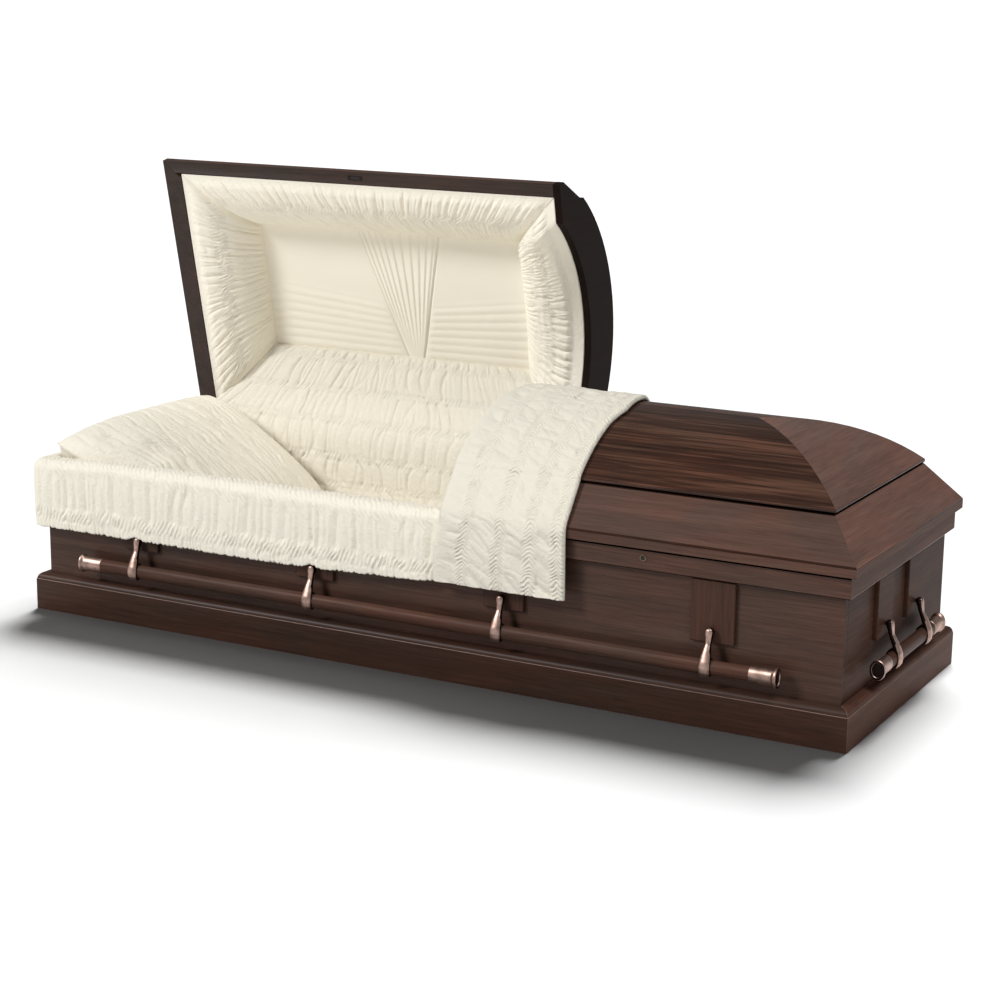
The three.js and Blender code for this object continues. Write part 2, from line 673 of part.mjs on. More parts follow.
buildHandle('front', PANEL_HALF_WIDTH, 0, SIDE_BAR_HALF, SIDE_ARMS, false);
buildHandle('foot', PANEL_HALF_LENGTH, Math.PI / 2, END_BAR_HALF, END_ARMS, false);
buildHandle('back', PANEL_HALF_WIDTH, Math.PI, SIDE_BAR_HALF, SIDE_ARMS, true);
buildHandle('head', PANEL_HALF_LENGTH, -Math.PI / 2, END_BAR_HALF, END_ARMS, true);

export default casket;
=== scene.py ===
"""Looks of the casket: stained wood, gathered cloth and copper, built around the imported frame."""

import json
import math

import bmesh
import bpy
import numpy as np
from mathutils import Matrix, Vector


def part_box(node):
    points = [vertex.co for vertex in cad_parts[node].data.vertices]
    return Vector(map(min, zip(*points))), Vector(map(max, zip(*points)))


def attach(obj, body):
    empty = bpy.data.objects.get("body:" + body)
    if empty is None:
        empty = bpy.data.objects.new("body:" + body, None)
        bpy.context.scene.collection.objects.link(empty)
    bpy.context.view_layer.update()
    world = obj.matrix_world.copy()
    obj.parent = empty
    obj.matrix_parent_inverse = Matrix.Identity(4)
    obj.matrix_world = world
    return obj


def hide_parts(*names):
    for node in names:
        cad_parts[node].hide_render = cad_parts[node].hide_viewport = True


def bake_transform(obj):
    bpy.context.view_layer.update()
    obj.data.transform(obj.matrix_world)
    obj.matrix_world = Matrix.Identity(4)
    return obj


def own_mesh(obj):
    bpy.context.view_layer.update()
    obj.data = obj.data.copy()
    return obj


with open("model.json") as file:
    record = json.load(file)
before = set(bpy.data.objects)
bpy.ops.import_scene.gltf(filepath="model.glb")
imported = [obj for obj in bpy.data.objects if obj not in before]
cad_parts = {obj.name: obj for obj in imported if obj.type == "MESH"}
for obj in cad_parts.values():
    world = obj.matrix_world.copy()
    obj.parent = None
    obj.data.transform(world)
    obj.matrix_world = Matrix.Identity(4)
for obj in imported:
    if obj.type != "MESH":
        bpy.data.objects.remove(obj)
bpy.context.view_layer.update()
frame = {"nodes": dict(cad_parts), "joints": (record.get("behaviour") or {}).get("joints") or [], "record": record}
JOINTS = {joint["name"]: joint for joint in frame["joints"]}
BODY_OF = {node: body for body, nodes in frame["record"]["behaviour"]["bodies"].items()
           for node in nodes}
X, Y, Z = 0, 1, 2


def low(node, axis):
    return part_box(node)[0][axis]


def high(node, axis):
    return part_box(node)[1][axis]


def middle(node, axis):
    return (low(node, axis) + high(node, axis)) / 2


def span(node, axis):
    return high(node, axis) - low(node, axis)


# Sizes taken from the frame, in metres
PANEL_X = high("end_foot", X)
PANEL_Y = high("side_back", Y)
WALL = span("side_front", Y)
RAIL_Y = high("rail_back", Y)
RAIL_Z = middle("rail_front", Z)
BODY_TOP = high("rail_front", Z)
BED_Z = high("mattress", Z)
LID_Y = -low("foot_lid_rim_front", Y)
LID_Z = low("foot_lid_rim_front", Z)
BEVEL_Z = high("foot_lid_rim_front", Z)
CROWN_Y = high("foot_lid_crown", Y)
CROWN_Z = low("foot_lid_crown", Z)
RIDGE_Z = high("foot_lid_crown", Z)
SPLIT_X = low("foot_lid_header", X)
HINGE_Y, HINGE_Z = JOINTS["head_lid_turn"]["pos_m"][1:]
OPEN_ANGLE = math.radians(JOINTS["head_lid_turn"]["range_deg"][1])
PIVOT_OUT = -JOINTS["front_handle_swing"]["pos_m"][1] - PANEL_Y
BAR_SIDES = 12
BAR_RADIUS = span("front_bar", Z) / 2 / math.cos(math.pi / BAR_SIDES)
BAR_FLATNESS = span("front_bar", Y) / span("front_bar", Z)
BAR_OUT = -middle("front_bar", Y) - PANEL_Y
BAR_Z = middle("front_bar", Z)
TIP = span("front_tip_2", X)
TIP_FLANGE = span("front_tip_2", Z) / 2
SIDE_ARMS = [middle(f"front_arm_{i}", X) for i in (1, 2, 3, 4)]
END_ARMS = [middle(f"foot_arm_{i}", Y) for i in (1, 2)]

# Sizes of the soft pieces, read off the photo, in metres
LINING_GAP = 0.012
LINING_Y = PANEL_Y - WALL - LINING_GAP
LINING_X = PANEL_X - WALL - LINING_GAP
CLOTH_BACK = 0.004
TRAY_Y = 0.3255
TRAY_X = (-1.005, 0.0735)
LID_PANEL_Y = 0.168
LID_PANEL_X = (-0.855, -0.09)
LID_PANEL_Z = 0.487
ROLL_ACROSS, ROLL_BULGE = 0.22, 0.034
FAN_LEFT = (-0.560, -0.448)
FAN_RIGHT = (-0.320, -0.403)
PLEATS, TUCKS = 11, 8
ARCH_HALF, ARCH_RISE = 0.2635, 0.102
FASCIA_Z = 0.3926


# Noise and folds, as heights over a cloth's own two coordinates; finer creases count their bands from FINER
LATTICE = 64
FINER = 31
PUCKER = 0.011


def noise(u, v, seed):
    """Smooth noise, -1 to 1, between fixed numbers on a lattice."""
    grid = np.random.default_rng(seed).random((LATTICE, LATTICE))
    i, j = np.floor(u).astype(int), np.floor(v).astype(int)
    a, b = u - i, v - j
    a, b = a * a * (3 - 2 * a), b * b * (3 - 2 * b)

    def at(p, q):
        return grid[p % LATTICE, q % LATTICE]

    near = at(i, j) * (1 - a) + at(i + 1, j) * a
    far = at(i, j + 1) * (1 - a) + at(i + 1, j + 1) * a
    return 2 * (near * (1 - b) + far * b) - 1


def smooth(x, start, end):
    """A soft step from 0 at start to 1 at end."""
    k = np.clip((x - start) / (end - start), 0, 1)
    return k * k * (3 - 2 * k)


def between(start, end, share):
    return start + (end - start) * share


def hashed(i, j, seed):
    """A fixed number, 0 to 1, for each pair of whole numbers."""
    table = np.random.default_rng(seed).random((LATTICE, LATTICE))
    return table[np.asarray(i).astype(int) % LATTICE, np.asarray(j).astype(int) % LATTICE]


def nearest(values, marks):
    """Index of the mark nearest to each value."""
    return np.argmin([np.abs(values - mark) for mark in marks], axis=0)


def banded(values, edges):
    """The band between two edges that each value lies in, and its place across the band, 0 to 1."""
    band = np.clip(np.searchsorted(edges, values, side="right") - 1, 0, len(edges) - 2)
    width = np.maximum(edges[band + 1] - edges[band], 1e-6)
    return band, np.clip((values - edges[band]) / width, 0, 1)


def creases(s, place, band, pitch, seed, narrow, slant=0.0, vary=0.8):
    """Narrow bowed creases, 0 to 1, that cross a band from place 0 to 1, with a pattern for each band."""
    u = s / pitch + 13.7 * band
    lean = slant + vary * noise(u / 2.6, 7.3 * band + 0.5, seed + 1)
    bow = 0.5 * noise(u / 1.9, 5.1 * band + 0.5, seed + 2)
    phase = (u + 0.38 * noise(0.9 * u, 3.7 * band + 0.5, seed) + lean * (place - 0.5)
             + bow * np.sin(np.pi * place))
    near = np.round(phase)
    depth = 0.2 + 0.8 * hashed(near, band, seed + 3) ** 1.5
    return depth * np.exp(-np.abs(phase - near) * pitch / narrow)


def gathers(s, off, pitch, seed, lean=0.8):
    """Fine slanting puckers, 0 to 1, packed side by side along a row of stitches."""
    phase = (s + lean * off) / pitch + 0.6 * noise(s / (2.3 * pitch), off / (1.7 * pitch), seed)
    strength = 0.62 + 0.38 * noise(s / (1.4 * pitch), off / (1.8 * pitch), seed + 1)
    return strength * (1 - np.abs(np.sin(np.pi * phase)) ** 0.8)


def shirred(s, t, rows, seed, pitch, slant=0.0, depth=0.006, reach=0.011, puff=0.001):
    """Height of cloth gathered on rows of stitches: fine puckers on a row, bowed creases between rows."""
    edges = np.concatenate([[t.min()], rows, [t.max()]])
    k, place = banded(t, edges)
    row = nearest(t, rows)
    off = t - np.array(rows)[row] + 0.003 * noise(s / 0.04, t / 0.04, seed + 4)
    pitch, slant = (np.broadcast_to(value, len(edges) - 1)[k] for value in (pitch, slant))
    between = 0.25 + 0.75 * smooth(np.abs(off), 0, 0.8 * reach)
    on_row = 1 - smooth(np.abs(off), 0.5 * reach, 1.4 * reach)
    pull = creases(s, place, k, pitch, seed, 0.0042, slant)
    pull = pull + 0.45 * creases(s, place, k + FINER, 0.55 * pitch, seed + 20, 0.0035, 1.8 * slant)
    short = gathers(s, off + 0.31 * row, PUCKER, seed + 40)
    swell = np.sin(np.pi * place) ** 0.6
    return puff * swell + depth * (1.2 - pull * between - 0.75 * short * on_row)


# Paths and grids
def rounded(points, corner):
    """A polyline with its corners cut round."""
    pts = [np.array(p, float) for p in points]
    line = [pts[0]]
    for a, b, c in zip(pts, pts[1:], pts[2:]):
        into, out = b - a, c - b
        cut = min(corner, 0.48 * np.linalg.norm(into), 0.48 * np.linalg.norm(out))
        p, q = b - into / np.linalg.norm(into) * cut, b + out / np.linalg.norm(out) * cut
        for k in np.linspace(0, 1, 7):
            line.append((1 - k) ** 2 * p + 2 * k * (1 - k) * b + k * k * q)
    line.append(pts[-1])
    return np.array(line)


def spaced(line, count):
    """Points evenly spaced along a line, and the distance of each along it."""
    steps = np.linalg.norm(np.diff(line, axis=0), axis=1)
    at = np.concatenate([[0], np.cumsum(steps)])
    want = np.linspace(0, at[-1], count)
    return np.stack([np.interp(want, at, line[:, i]) for i in range(line.shape[1])], axis=1), want


def directions(line):
    """Unit directions along a line of points."""
    steps = np.gradient(line, axis=0)
    return steps / np.linalg.norm(steps, axis=1, keepdims=True)


def normals(grid):
    """Unit normals of a grid of points."""
    n = np.cross(np.gradient(grid, axis=0), np.gradient(grid, axis=1))
    return n / np.maximum(np.linalg.norm(n, axis=2, keepdims=True), 1e-12)


def raised(grid, height, towards):
    """The grid lifted by height along its normals, on the side that faces towards."""
    n = normals(grid)
    side = np.sign(np.mean(n @ np.array(towards, float)))
    return grid + n * side * height[..., None]


def opened(grid):
    """From places in the shut head lid to where it stands open."""
    y, z = grid[..., 1] - HINGE_Y, grid[..., 2] - HINGE_Z
    c, s = math.cos(OPEN_ANGLE), math.sin(OPEN_ANGLE)
    return np.stack([grid[..., 0], HINGE_Y + y * c + z * s, HINGE_Z - y * s + z * c], axis=-1)


def shut_z(point):
    """Height that a point of the open head lid has when the lid is shut."""
    y, z = point.y - HINGE_Y, point.z - HINGE_Z
    return HINGE_Z + y * math.sin(OPEN_ANGLE) + z * math.cos(OPEN_ANGLE)


# Objects
def add_object(name, verts, faces, material, smooth_faces=True):
    mesh = bpy.data.meshes.new(name)
    mesh.from_pydata([tuple(v) for v in verts], [], faces)
    mesh.polygons.foreach_set("use_smooth", [smooth_faces] * len(mesh.polygons))
    mesh.materials.append(material)
    obj = bpy.data.objects.new(name, mesh)
    bpy.context.scene.collection.objects.link(obj)
    return obj


STRIDE = 4


def count(length, step):
    """Points about a step apart along a length, so many that a slab's coarse back ends with its front."""
    return STRIDE * max(1, round(length / step / STRIDE)) + 1


def slab(name, front, back, material):
    """A closed piece: a fine front grid and a coarse back grid joined round their edges."""
    n, m = front.shape[:2]
    coarse = back[::STRIDE, ::STRIDE]
    p, q = coarse.shape[:2]
    verts = np.concatenate([front.reshape(-1, 3), coarse.reshape(-1, 3)])

    def f(i, j):
        return i * m + j

    def b(i, j):
        return n * m + i * q + j

    faces = [(f(i, j), f(i + 1, j), f(i + 1, j + 1), f(i, j + 1))
             for i in range(n - 1) for j in range(m - 1)]
    faces += [(b(i, j), b(i, j + 1), b(i + 1, j + 1), b(i + 1, j))
              for i in range(p - 1) for j in range(q - 1)]
    for i in range(p - 1):
        run = range(i * STRIDE, (i + 1) * STRIDE + 1)
        faces.append([f(k, 0) for k in reversed(run)] + [b(i, 0), b(i + 1, 0)])
        faces.append([f(k, m - 1) for k in run] + [b(i + 1, q - 1), b(i, q - 1)])
    for j in range(q - 1):
        run = range(j * STRIDE, (j + 1) * STRIDE + 1)
        faces.append([f(0, k) for k in run] + [b(0, j + 1), b(0, j)])
        faces.append([f(n - 1, k) for k in reversed(run)] + [b(p - 1, j), b(p - 1, j + 1)])
    obj = add_object(name, verts, faces, material)
    outward = np.mean(np.sum(normals(front) * (front - back), axis=2))
    if outward < 0:
        obj.data.flip_normals()
    return obj


# A dressed board's materials, in order, and the angles and heights that sort its edges and faces
# The fourth, fifth and sixth slots hold painted shade, the third lighter or darker copies as painted light or
# shade, and the second on some boards a partly painted highlight.
FACE, EDGE, LEAN, GAP_SHADE, DOWN_SHADE, LINE_SHADE = range(6)
AS_BESIDE = -1
SHARP, BLUNT = math.radians(22), math.radians(60)
SAME_LEVEL = 0.0005


def round_edges(form, edges, size, material):
    """Edges rounded off; returns the edges that this makes."""
    if not edges:
        return set()
    made = bmesh.ops.bevel(form, geom=edges, offset=size, segments=3, profile=0.5, affect="EDGES",
                           clamp_overlap=True, material=material)
    return set(made["edges"])


def dressed(node, material, bevel, edge=None, ends=None, down=None, broad=0.0, under=0.0, seam=0.0):
    """A CAD node's own shape with its edges eased by bevel, to stand for it.

    Faces that lean to an end take ends, and so do a side's square ends: lighter or darker copies of
    the stain, as painted light or painted shade. The lowest faces take down, where given a darker copy
    as painted shade. Eased edges take edge, on some boards a lighter rubbed edge that is partly a
    painted highlight. Blunt edges are rounded by broad, and on boards without ends that rounding is a
    painted shade line. The lowest edges are rounded by under and painted near black as shadow. A board
    with a seam is painted near black as shadow that far down from its top and on its chamfer.
    """
    mesh = frame["nodes"][node].data.copy()
    mesh.materials.clear()
    for each in (material, edge or material, ends or material, GAP_SHADE_WOOD, down or material, LINE_SHADE_WOOD):
        mesh.materials.append(each)
    form = bmesh.new()
    form.from_mesh(mesh)
    bmesh.ops.remove_doubles(form, verts=form.verts, dist=1e-6)
    bmesh.ops.dissolve_limit(form, angle_limit=math.radians(0.4), verts=form.verts, edges=form.edges)

    def sharp():
        return [e for e in form.edges if e.is_manifold and e.calc_face_angle() > SHARP]

    def height(part):
        return max(shut_z(v.co) if BODY_OF[node] == "head_lid" else v.co.z for v in part.verts)

    lowest = min(height(e) for e in form.edges) + SAME_LEVEL
    steepest = 1.1 if node.startswith("side_") else 0.97
    # Lowest faces take painted shade where down is given; faces leaning to an end take lighter or darker copies,
    # painted light or shade.
    for face in form.faces:
        leaning = 0.03 < abs(face.normal.x) < steepest
        face.material_index = DOWN_SHADE if height(face) < lowest else LEAN if leaning else FACE
    # Painted shadow: the board's top band and its chamfer are made near black, as the shade under the lid's
    # overhang.
    if seam:
        line = max(v.co.z for v in form.verts) - seam
        bmesh.ops.bisect_plane(form, geom=[*form.verts, *form.edges, *form.faces], plane_co=(0, 0, line),
                               plane_no=(0, 0, 1))
        for face in form.faces:
            chamfer = -0.9 < face.normal.z < -0.5
            if chamfer or face.calc_center_median().z > line:
                face.material_index = GAP_SHADE
    made = set()
    if broad:
        blunt = [e for e in sharp() if e.calc_face_angle() < BLUNT]
        # Where there are no ends, the rounded blunt edge is painted dark as a shade line.
        made |= round_edges(form, blunt, broad, AS_BESIDE if ends else LINE_SHADE)
    if under:
        # The lowest edges are rounded and painted near black as shadow.
        beneath = [e for e in sharp() if height(e) < lowest and e not in made]
        made |= round_edges(form, beneath, under, GAP_SHADE)
    if bevel:
        rest = [e for e in sharp() if e not in made]
        bmesh.ops.bevel(form, geom=rest, offset=bevel, segments=2, profile=0.6, affect="EDGES",
                        clamp_overlap=True, material=EDGE)
    form.to_mesh(mesh)
    form.free()
    mesh.polygons.foreach_set("use_smooth", [True] * len(mesh.polygons))
    obj = bpy.data.objects.new(node + "_piece", mesh)
    bpy.context.scene.collection.objects.link(obj)
    obj.modifiers.new("normals", "WEIGHTED_NORMAL")
    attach(obj, BODY_OF[node])
    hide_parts(node)
    return obj


# Materials
def new_material(name):
    material = bpy.data.materials.new(name)
    material.use_nodes = True
    tree = material.node_tree
    return material, tree, tree.nodes["Principled BSDF"]


def linked(tree, kind, sockets=None, **settings):
    node = tree.nodes.new(kind)
    for key, value in settings.items():
        setattr(node, key, value)
    for key, value in (sockets or {}).items():
        if isinstance(value, bpy.types.NodeSocket):
            tree.links.new(value, node.inputs[key])
        else:
            node.inputs[key].default_value = value
    return node


def ramp(tree, factor, stops):
    node = linked(tree, "ShaderNodeValToRGB", {"Fac": factor})
    elements = node.color_ramp.elements
    while len(elements) < len(stops):
        elements.new(0.5)
    for element, (position, colour) in zip(elements, stops):
        element.position = position
        element.color = (*colour, 1)
    return node.outputs["Color"]


def wood(name, grain, stain, rough=0.36, gloss=0.16, figured=0.5):
    """Stained wood: broad figure, narrow streaks and fine pores drawn out along the grain, and mottling."""
    material, tree, shader = new_material(name)
    place = linked(tree, "ShaderNodeTexCoord").outputs["Object"]

    def streaks(along, across, detail, distortion=0.0):
        scale = [across] * 3
        scale[grain] = along
        stretched = linked(tree, "ShaderNodeMapping", {"Vector": place, "Scale": scale})
        return linked(tree, "ShaderNodeTexNoise", {
            "Vector": stretched.outputs["Vector"], "Scale": 1.0, "Detail": detail,
            "Distortion": distortion}).outputs["Fac"]

    def multiplied(colour, tint, share):
        mixed = linked(tree, "ShaderNodeMix", data_type="RGBA", blend_type="MULTIPLY")
        mixed.inputs[0].default_value = share
        tree.links.new(colour, mixed.inputs[6])
        tree.links.new(tint, mixed.inputs[7])
        return mixed.outputs[2]

    figure = streaks(1.3, 24, 5, 0.9)
    streak = streaks(5, 170, 5, 0.3)
    pores = streaks(16, 620, 2)
    mottle = streaks(2.6, 8, 3, 0.8)
    blend = linked(tree, "ShaderNodeMath", {0: figure, 1: figured}, operation="MULTIPLY")
    blend = linked(tree, "ShaderNodeMath", {0: streak, 1: 1 - figured, 2: blend.outputs[0]},
                   operation="MULTIPLY_ADD")
    colour = ramp(tree, blend.outputs[0], list(zip((0.36, 0.5, 0.64), stain)))
    pore_tint = ramp(tree, pores, [(0.35, (0.62, 0.6, 0.6)), (0.55, (1, 1, 1))])
    patches = ramp(tree, mottle, [(0.38, (0.89, 0.97, 0.97)), (0.62, (1.09, 1.0, 0.95))])
    colour = multiplied(multiplied(colour, pore_tint, 0.6), patches, 1.0)
    tree.links.new(colour, shader.inputs["Base Color"])
    shader.inputs["Roughness"].default_value = rough
    shader.inputs["Specular IOR Level"].default_value = gloss
    bump = linked(tree, "ShaderNodeBump", {"Height": pores, "Strength": 0.12, "Distance": 0.0006})
    tree.links.new(bump.outputs["Normal"], shader.inputs["Normal"])
    return material


def metal(name, colour, rough):
    """Metal with an uneven, rubbed finish."""
    material, tree, shader = new_material(name)
    place = linked(tree, "ShaderNodeTexCoord").outputs["Object"]
    patches = linked(tree, "ShaderNodeTexNoise", {"Vector": place, "Scale": 60.0, "Detail": 3.0})
    worn = ramp(tree, patches.outputs["Fac"], [
        (0.35, [0.6 * c for c in colour]), (0.6, colour)])
    tree.links.new(worn, shader.inputs["Base Color"])
    shader.inputs["Metallic"].default_value = 1.0
    shader.inputs["Roughness"].default_value = rough
    return material


def cloth(name, colour, crinkled=0.0):
    """Woven cloth; a crinkled one has small uneven puckers as well."""
    material, tree, shader = new_material(name)
    place = linked(tree, "ShaderNodeTexCoord").outputs["Object"]
    weave = linked(tree, "ShaderNodeTexNoise", {"Vector": place, "Scale": 260.0, "Detail": 4.0})
    bump = linked(tree, "ShaderNodeBump", {"Height": weave.outputs["Fac"], "Strength": 0.16,
                                           "Distance": 0.0012})
    if crinkled:
        crepe = linked(tree, "ShaderNodeTexNoise", {"Vector": place, "Scale": 90.0, "Detail": 2.0,
                                                    "Distortion": 0.8})
        bump = linked(tree, "ShaderNodeBump", {"Height": crepe.outputs["Fac"], "Strength": crinkled,
                                               "Distance": 0.004, "Normal": bump.outputs["Normal"]})
    tree.links.new(bump.outputs["Normal"], shader.inputs["Normal"])
    shader.inputs["Base Color"].default_value = (*colour, 1)
    shader.inputs["Roughness"].default_value = 0.85
    shader.inputs["Specular IOR Level"].default_value = 0.15
    shader.inputs["Sheen Weight"].default_value = 0.15
    return material


def plain(name, colour, rough):
    material, _, shader = new_material(name)
    shader.inputs["Base Color"].default_value = (*colour, 1)
    shader.inputs["Roughness"].default_value = rough
    return material


def shaded(stain, factor):
    """A stain made lighter or darker: another tone, or a copy that paints light or shade."""
    return [tuple(factor * c for c in colour) for colour in stain]


FIGURED_STAIN = ((0.021, 0.0092, 0.0060), (0.046, 0.0203, 0.0128), (0.128, 0.059, 0.0375))
BOARD_STAIN = ((0.064, 0.0328, 0.0240), (0.081, 0.0413, 0.0300), (0.102, 0.0522, 0.0380))
# A much lighter copy for faces that lean to the ends: painted light.
LIT_END_STAIN = ((0.145, 0.074, 0.056), (0.178, 0.093, 0.071), (0.215, 0.116, 0.090))
# A darker, greyer copy for the undersides of the lid rims: painted shade.
UNDERSIDE_SHADE_STAIN = ((0.036, 0.0232, 0.0190), (0.047, 0.0300, 0.0245), (0.059, 0.0380, 0.0315))
WOOD = [wood("stained_wood_" + "xy"[i], i, BOARD_STAIN, figured=0.4) for i in range(2)]
CROWN_WOOD = wood("stained_wood_crown", X, FIGURED_STAIN)
# A slightly lighter copy for the lids' front rims: painted light.
LIT_BEVEL_WOOD = wood("painted_light_bevel_wood", X, shaded(BOARD_STAIN, 1.05))
UNDERSIDE_SHADE_WOOD = [wood("stained_wood_lid_" + "xy"[i], i, UNDERSIDE_SHADE_STAIN) for i in range(2)]
# A darker copy for the base's long boards: painted shade.
SHADED_BASE_WOOD = wood("stained_wood_base", X, shaded(BOARD_STAIN, 0.68), gloss=0.12)
# A lighter copy for the end boards and end fascias: painted light.
LIT_BASE_END_WOOD = wood("painted_light_base_end_wood", Y, shaded(BOARD_STAIN, 1.15), gloss=0.02)
# A darker copy for the end panels, the sides' square ends and the end plates: painted shade.
SHADED_PANEL_WOOD = wood("painted_shade_panel_wood", Y, shaded(BOARD_STAIN, 0.74), gloss=0.02)
PLATE_WOOD = wood("stained_wood_plate", Z, shaded(BOARD_STAIN, 0.85), gloss=0.08)
LIT_END_WOOD = wood("painted_light_end_wood", Y, LIT_END_STAIN)
SHADE_WOOD = wood("stained_wood_shade", Y, shaded(BOARD_STAIN, 0.14), 0.6, 0.06)
# Near black and without gloss: painted shadow under the lids' overhang and along the rails' top.
GAP_SHADE_WOOD = wood("painted_gap_shade_wood", Y, shaded(BOARD_STAIN, 0.03), 0.9, 0.0)
# Dark and without gloss: a painted shade line on the rims' rounded edge between bevel and fascia.
LINE_SHADE_WOOD = wood("painted_line_shade_wood", X, shaded(BOARD_STAIN, 0.5), 0.8, 0.0)
BAR_WOOD = [wood("bar_wood_" + "xy"[i], i, shaded(BOARD_STAIN, 0.95), 0.4, 0.07)
            for i in range(2)]
# Lighter eased edges: partly rubbed wear, partly painted highlight.
EDGE_WEAR_AND_HIGHLIGHT = plain("rubbed_edge_and_painted_highlight", (0.17, 0.098, 0.073), 0.35)
COPPER = metal("antique_copper", (0.53, 0.36, 0.30), 0.42)
# Dark patina, which on the arms' sides and bands also stands for painted shade.
PATINA_AND_SHADE = metal("dark_patina_and_painted_shade", (0.035, 0.025, 0.022), 0.45)
BRASS = metal("hinge_brass", (0.24, 0.16, 0.105), 0.4)
IVORY = (0.87, 0.82, 0.705)
CREPE = cloth("crepe_cloth", [0.95 * c for c in IVORY], 0.45)
# Lighter copies of the lining cloth for the open lid: painted light.
LIT_LID_CREPE = cloth("painted_light_lid_crepe_cloth", [1.12 * c for c in IVORY], 0.45)
LIT_LID_CLOTH = cloth("painted_light_lid_panel_cloth", [1.12 * c for c in IVORY])
# A darker copy of the cloth for the throw: painted shade.
SHADED_THROW_CREPE = cloth("painted_shade_throw_crepe_cloth", [0.84 * c for c in IVORY], 0.45)
# Near black for the keyhole and catch slot: painted shade in place of their hollow insides.
HOLE_SHADE_BLACK = plain("painted_hole_shade", (0.004, 0.004, 0.004), 0.6)


# Wooden boards
GRAIN_Y = ("base_head", "base_foot", "rail_head", "rail_foot", "end_head", "end_foot",
           "head_lid_rim_end", "foot_lid_rim_end", "head_lid_header", "foot_lid_header")
GRAIN_X = ("base_front", "base_back", "rail_front", "rail_back", "side_front", "side_back",
           "floor_board", "head_lid_rim_front", "head_lid_rim_back", "foot_lid_rim_front",
           "foot_lid_rim_back", "head_lid_crown", "foot_lid_crown")
# Each board's stain, or a lighter or darker copy of it that paints light or shade.
STAINS_AND_PAINTED_LIGHT = {
    "base_front": SHADED_BASE_WOOD, "base_back": SHADED_BASE_WOOD, "base_head": LIT_BASE_END_WOOD, "base_foot": LIT_BASE_END_WOOD,
    "rail_head": LIT_BASE_END_WOOD, "rail_foot": LIT_BASE_END_WOOD, "end_head": SHADED_PANEL_WOOD, "end_foot": SHADED_PANEL_WOOD,
    "head_lid_rim_front": LIT_BEVEL_WOOD, "foot_lid_rim_front": LIT_BEVEL_WOOD,
    "head_lid_rim_end": LIT_BASE_END_WOOD, "foot_lid_rim_end": LIT_BASE_END_WOOD,
    "head_lid_header": SHADE_WOOD, "foot_lid_header": SHADE_WOOD,
    "head_lid_crown": CROWN_WOOD, "foot_lid_crown": CROWN_WOOD}
# Faces that lean to an end: painted light on the lid, painted shade on the sides' square ends.
END_FACE_LIGHT_AND_SHADE = {"head_lid_crown": LIT_END_WOOD, "foot_lid_crown": LIT_END_WOOD, "head_lid_rim_end": LIT_END_WOOD,
        "foot_lid_rim_end": LIT_END_WOOD, "side_front": SHADED_PANEL_WOOD, "side_back": SHADED_PANEL_WOOD}
# Boards whose eased edges are lighter, partly as wear and partly as painted highlight.
RUBBED_AND_HIGHLIT = ("rail_foot", "foot_lid_rim_end", "head_lid_rim_end", "base_front", "base_foot", "base_back",
          "base_head")
# Rails whose top band is painted near black as the shadow under the lid.
SHADE_BANDED = ("rail_front", "rail_back")
EASED, CRISP, PADDED = 0.0012, 0.0007, 0.003
# Depth of the painted shadow band on the rails, and sizes of rounded edges, some of which take painted shade.
SHADE_BAND, BEVEL_ROUND, UNDERCUT = 0.0056, 0.003, 0.0046


def dress_board(board, grain):
    rim = "_lid_rim" in board
    # Rims' lowest faces take a darker copy of the stain as painted shade.
    piece = dressed(board, STAINS_AND_PAINTED_LIGHT.get(board, WOOD[grain]),
                    bevel=CRISP if board.startswith(("side_", "end_", "rail_")) else EASED,
                    edge=EDGE_WEAR_AND_HIGHLIGHT if board in RUBBED_AND_HIGHLIT else None, ends=END_FACE_LIGHT_AND_SHADE.get(board),
                    down=UNDERSIDE_SHADE_WOOD[grain] if rim else None, broad=BEVEL_ROUND if rim else 0,
                    under=UNDERCUT if rim or "_crown" in board else 0, seam=SHADE_BAND if board in SHADE_BANDED else 0)


for board in GRAIN_X:
    dress_board(board, X)
for board in GRAIN_Y:
    dress_board(board, Y)
for leaf in ("hinge_body", "head_lid_hinge", "foot_lid_hinge"):
    dressed(leaf, BRASS, bevel=0)
for soft in ("mattress", "foot_lid_lining"):
    dressed(soft, CREPE, bevel=PADDED)


# Head lid lining, laid out in the shut lid and then opened
def arch(y):
    """Height of the header's arched edge."""
    radius = (ARCH_HALF ** 2 + ARCH_RISE ** 2) / (2 * ARCH_RISE)
    y = np.clip(np.abs(y), 0, ARCH_HALF)
    return LID_Z + ARCH_RISE - radius + np.sqrt(radius ** 2 - y ** 2)


def bulge(v):
    """How far a roll stands proud of the straight line across it, 0 at both edges."""
    return ROLL_BULGE * np.sin(np.pi * v ** 1.35) ** 0.75


def roll(outer, inner, v):
    """A roll between its outer edge on the rim and its inner edge on the lid's panel."""
    grid = outer[:, None] * (1 - v[None, :, None]) + inner[:, None] * v[None, :, None]
    grid[..., 2] -= bulge(v)[None, :]
    return grid


def resampled(line, u):
    """Points at the shares u of a line of evenly counted points."""
    return np.stack([np.interp(u, np.linspace(0, 1, len(line)), line[:, i]) for i in range(3)], axis=1)


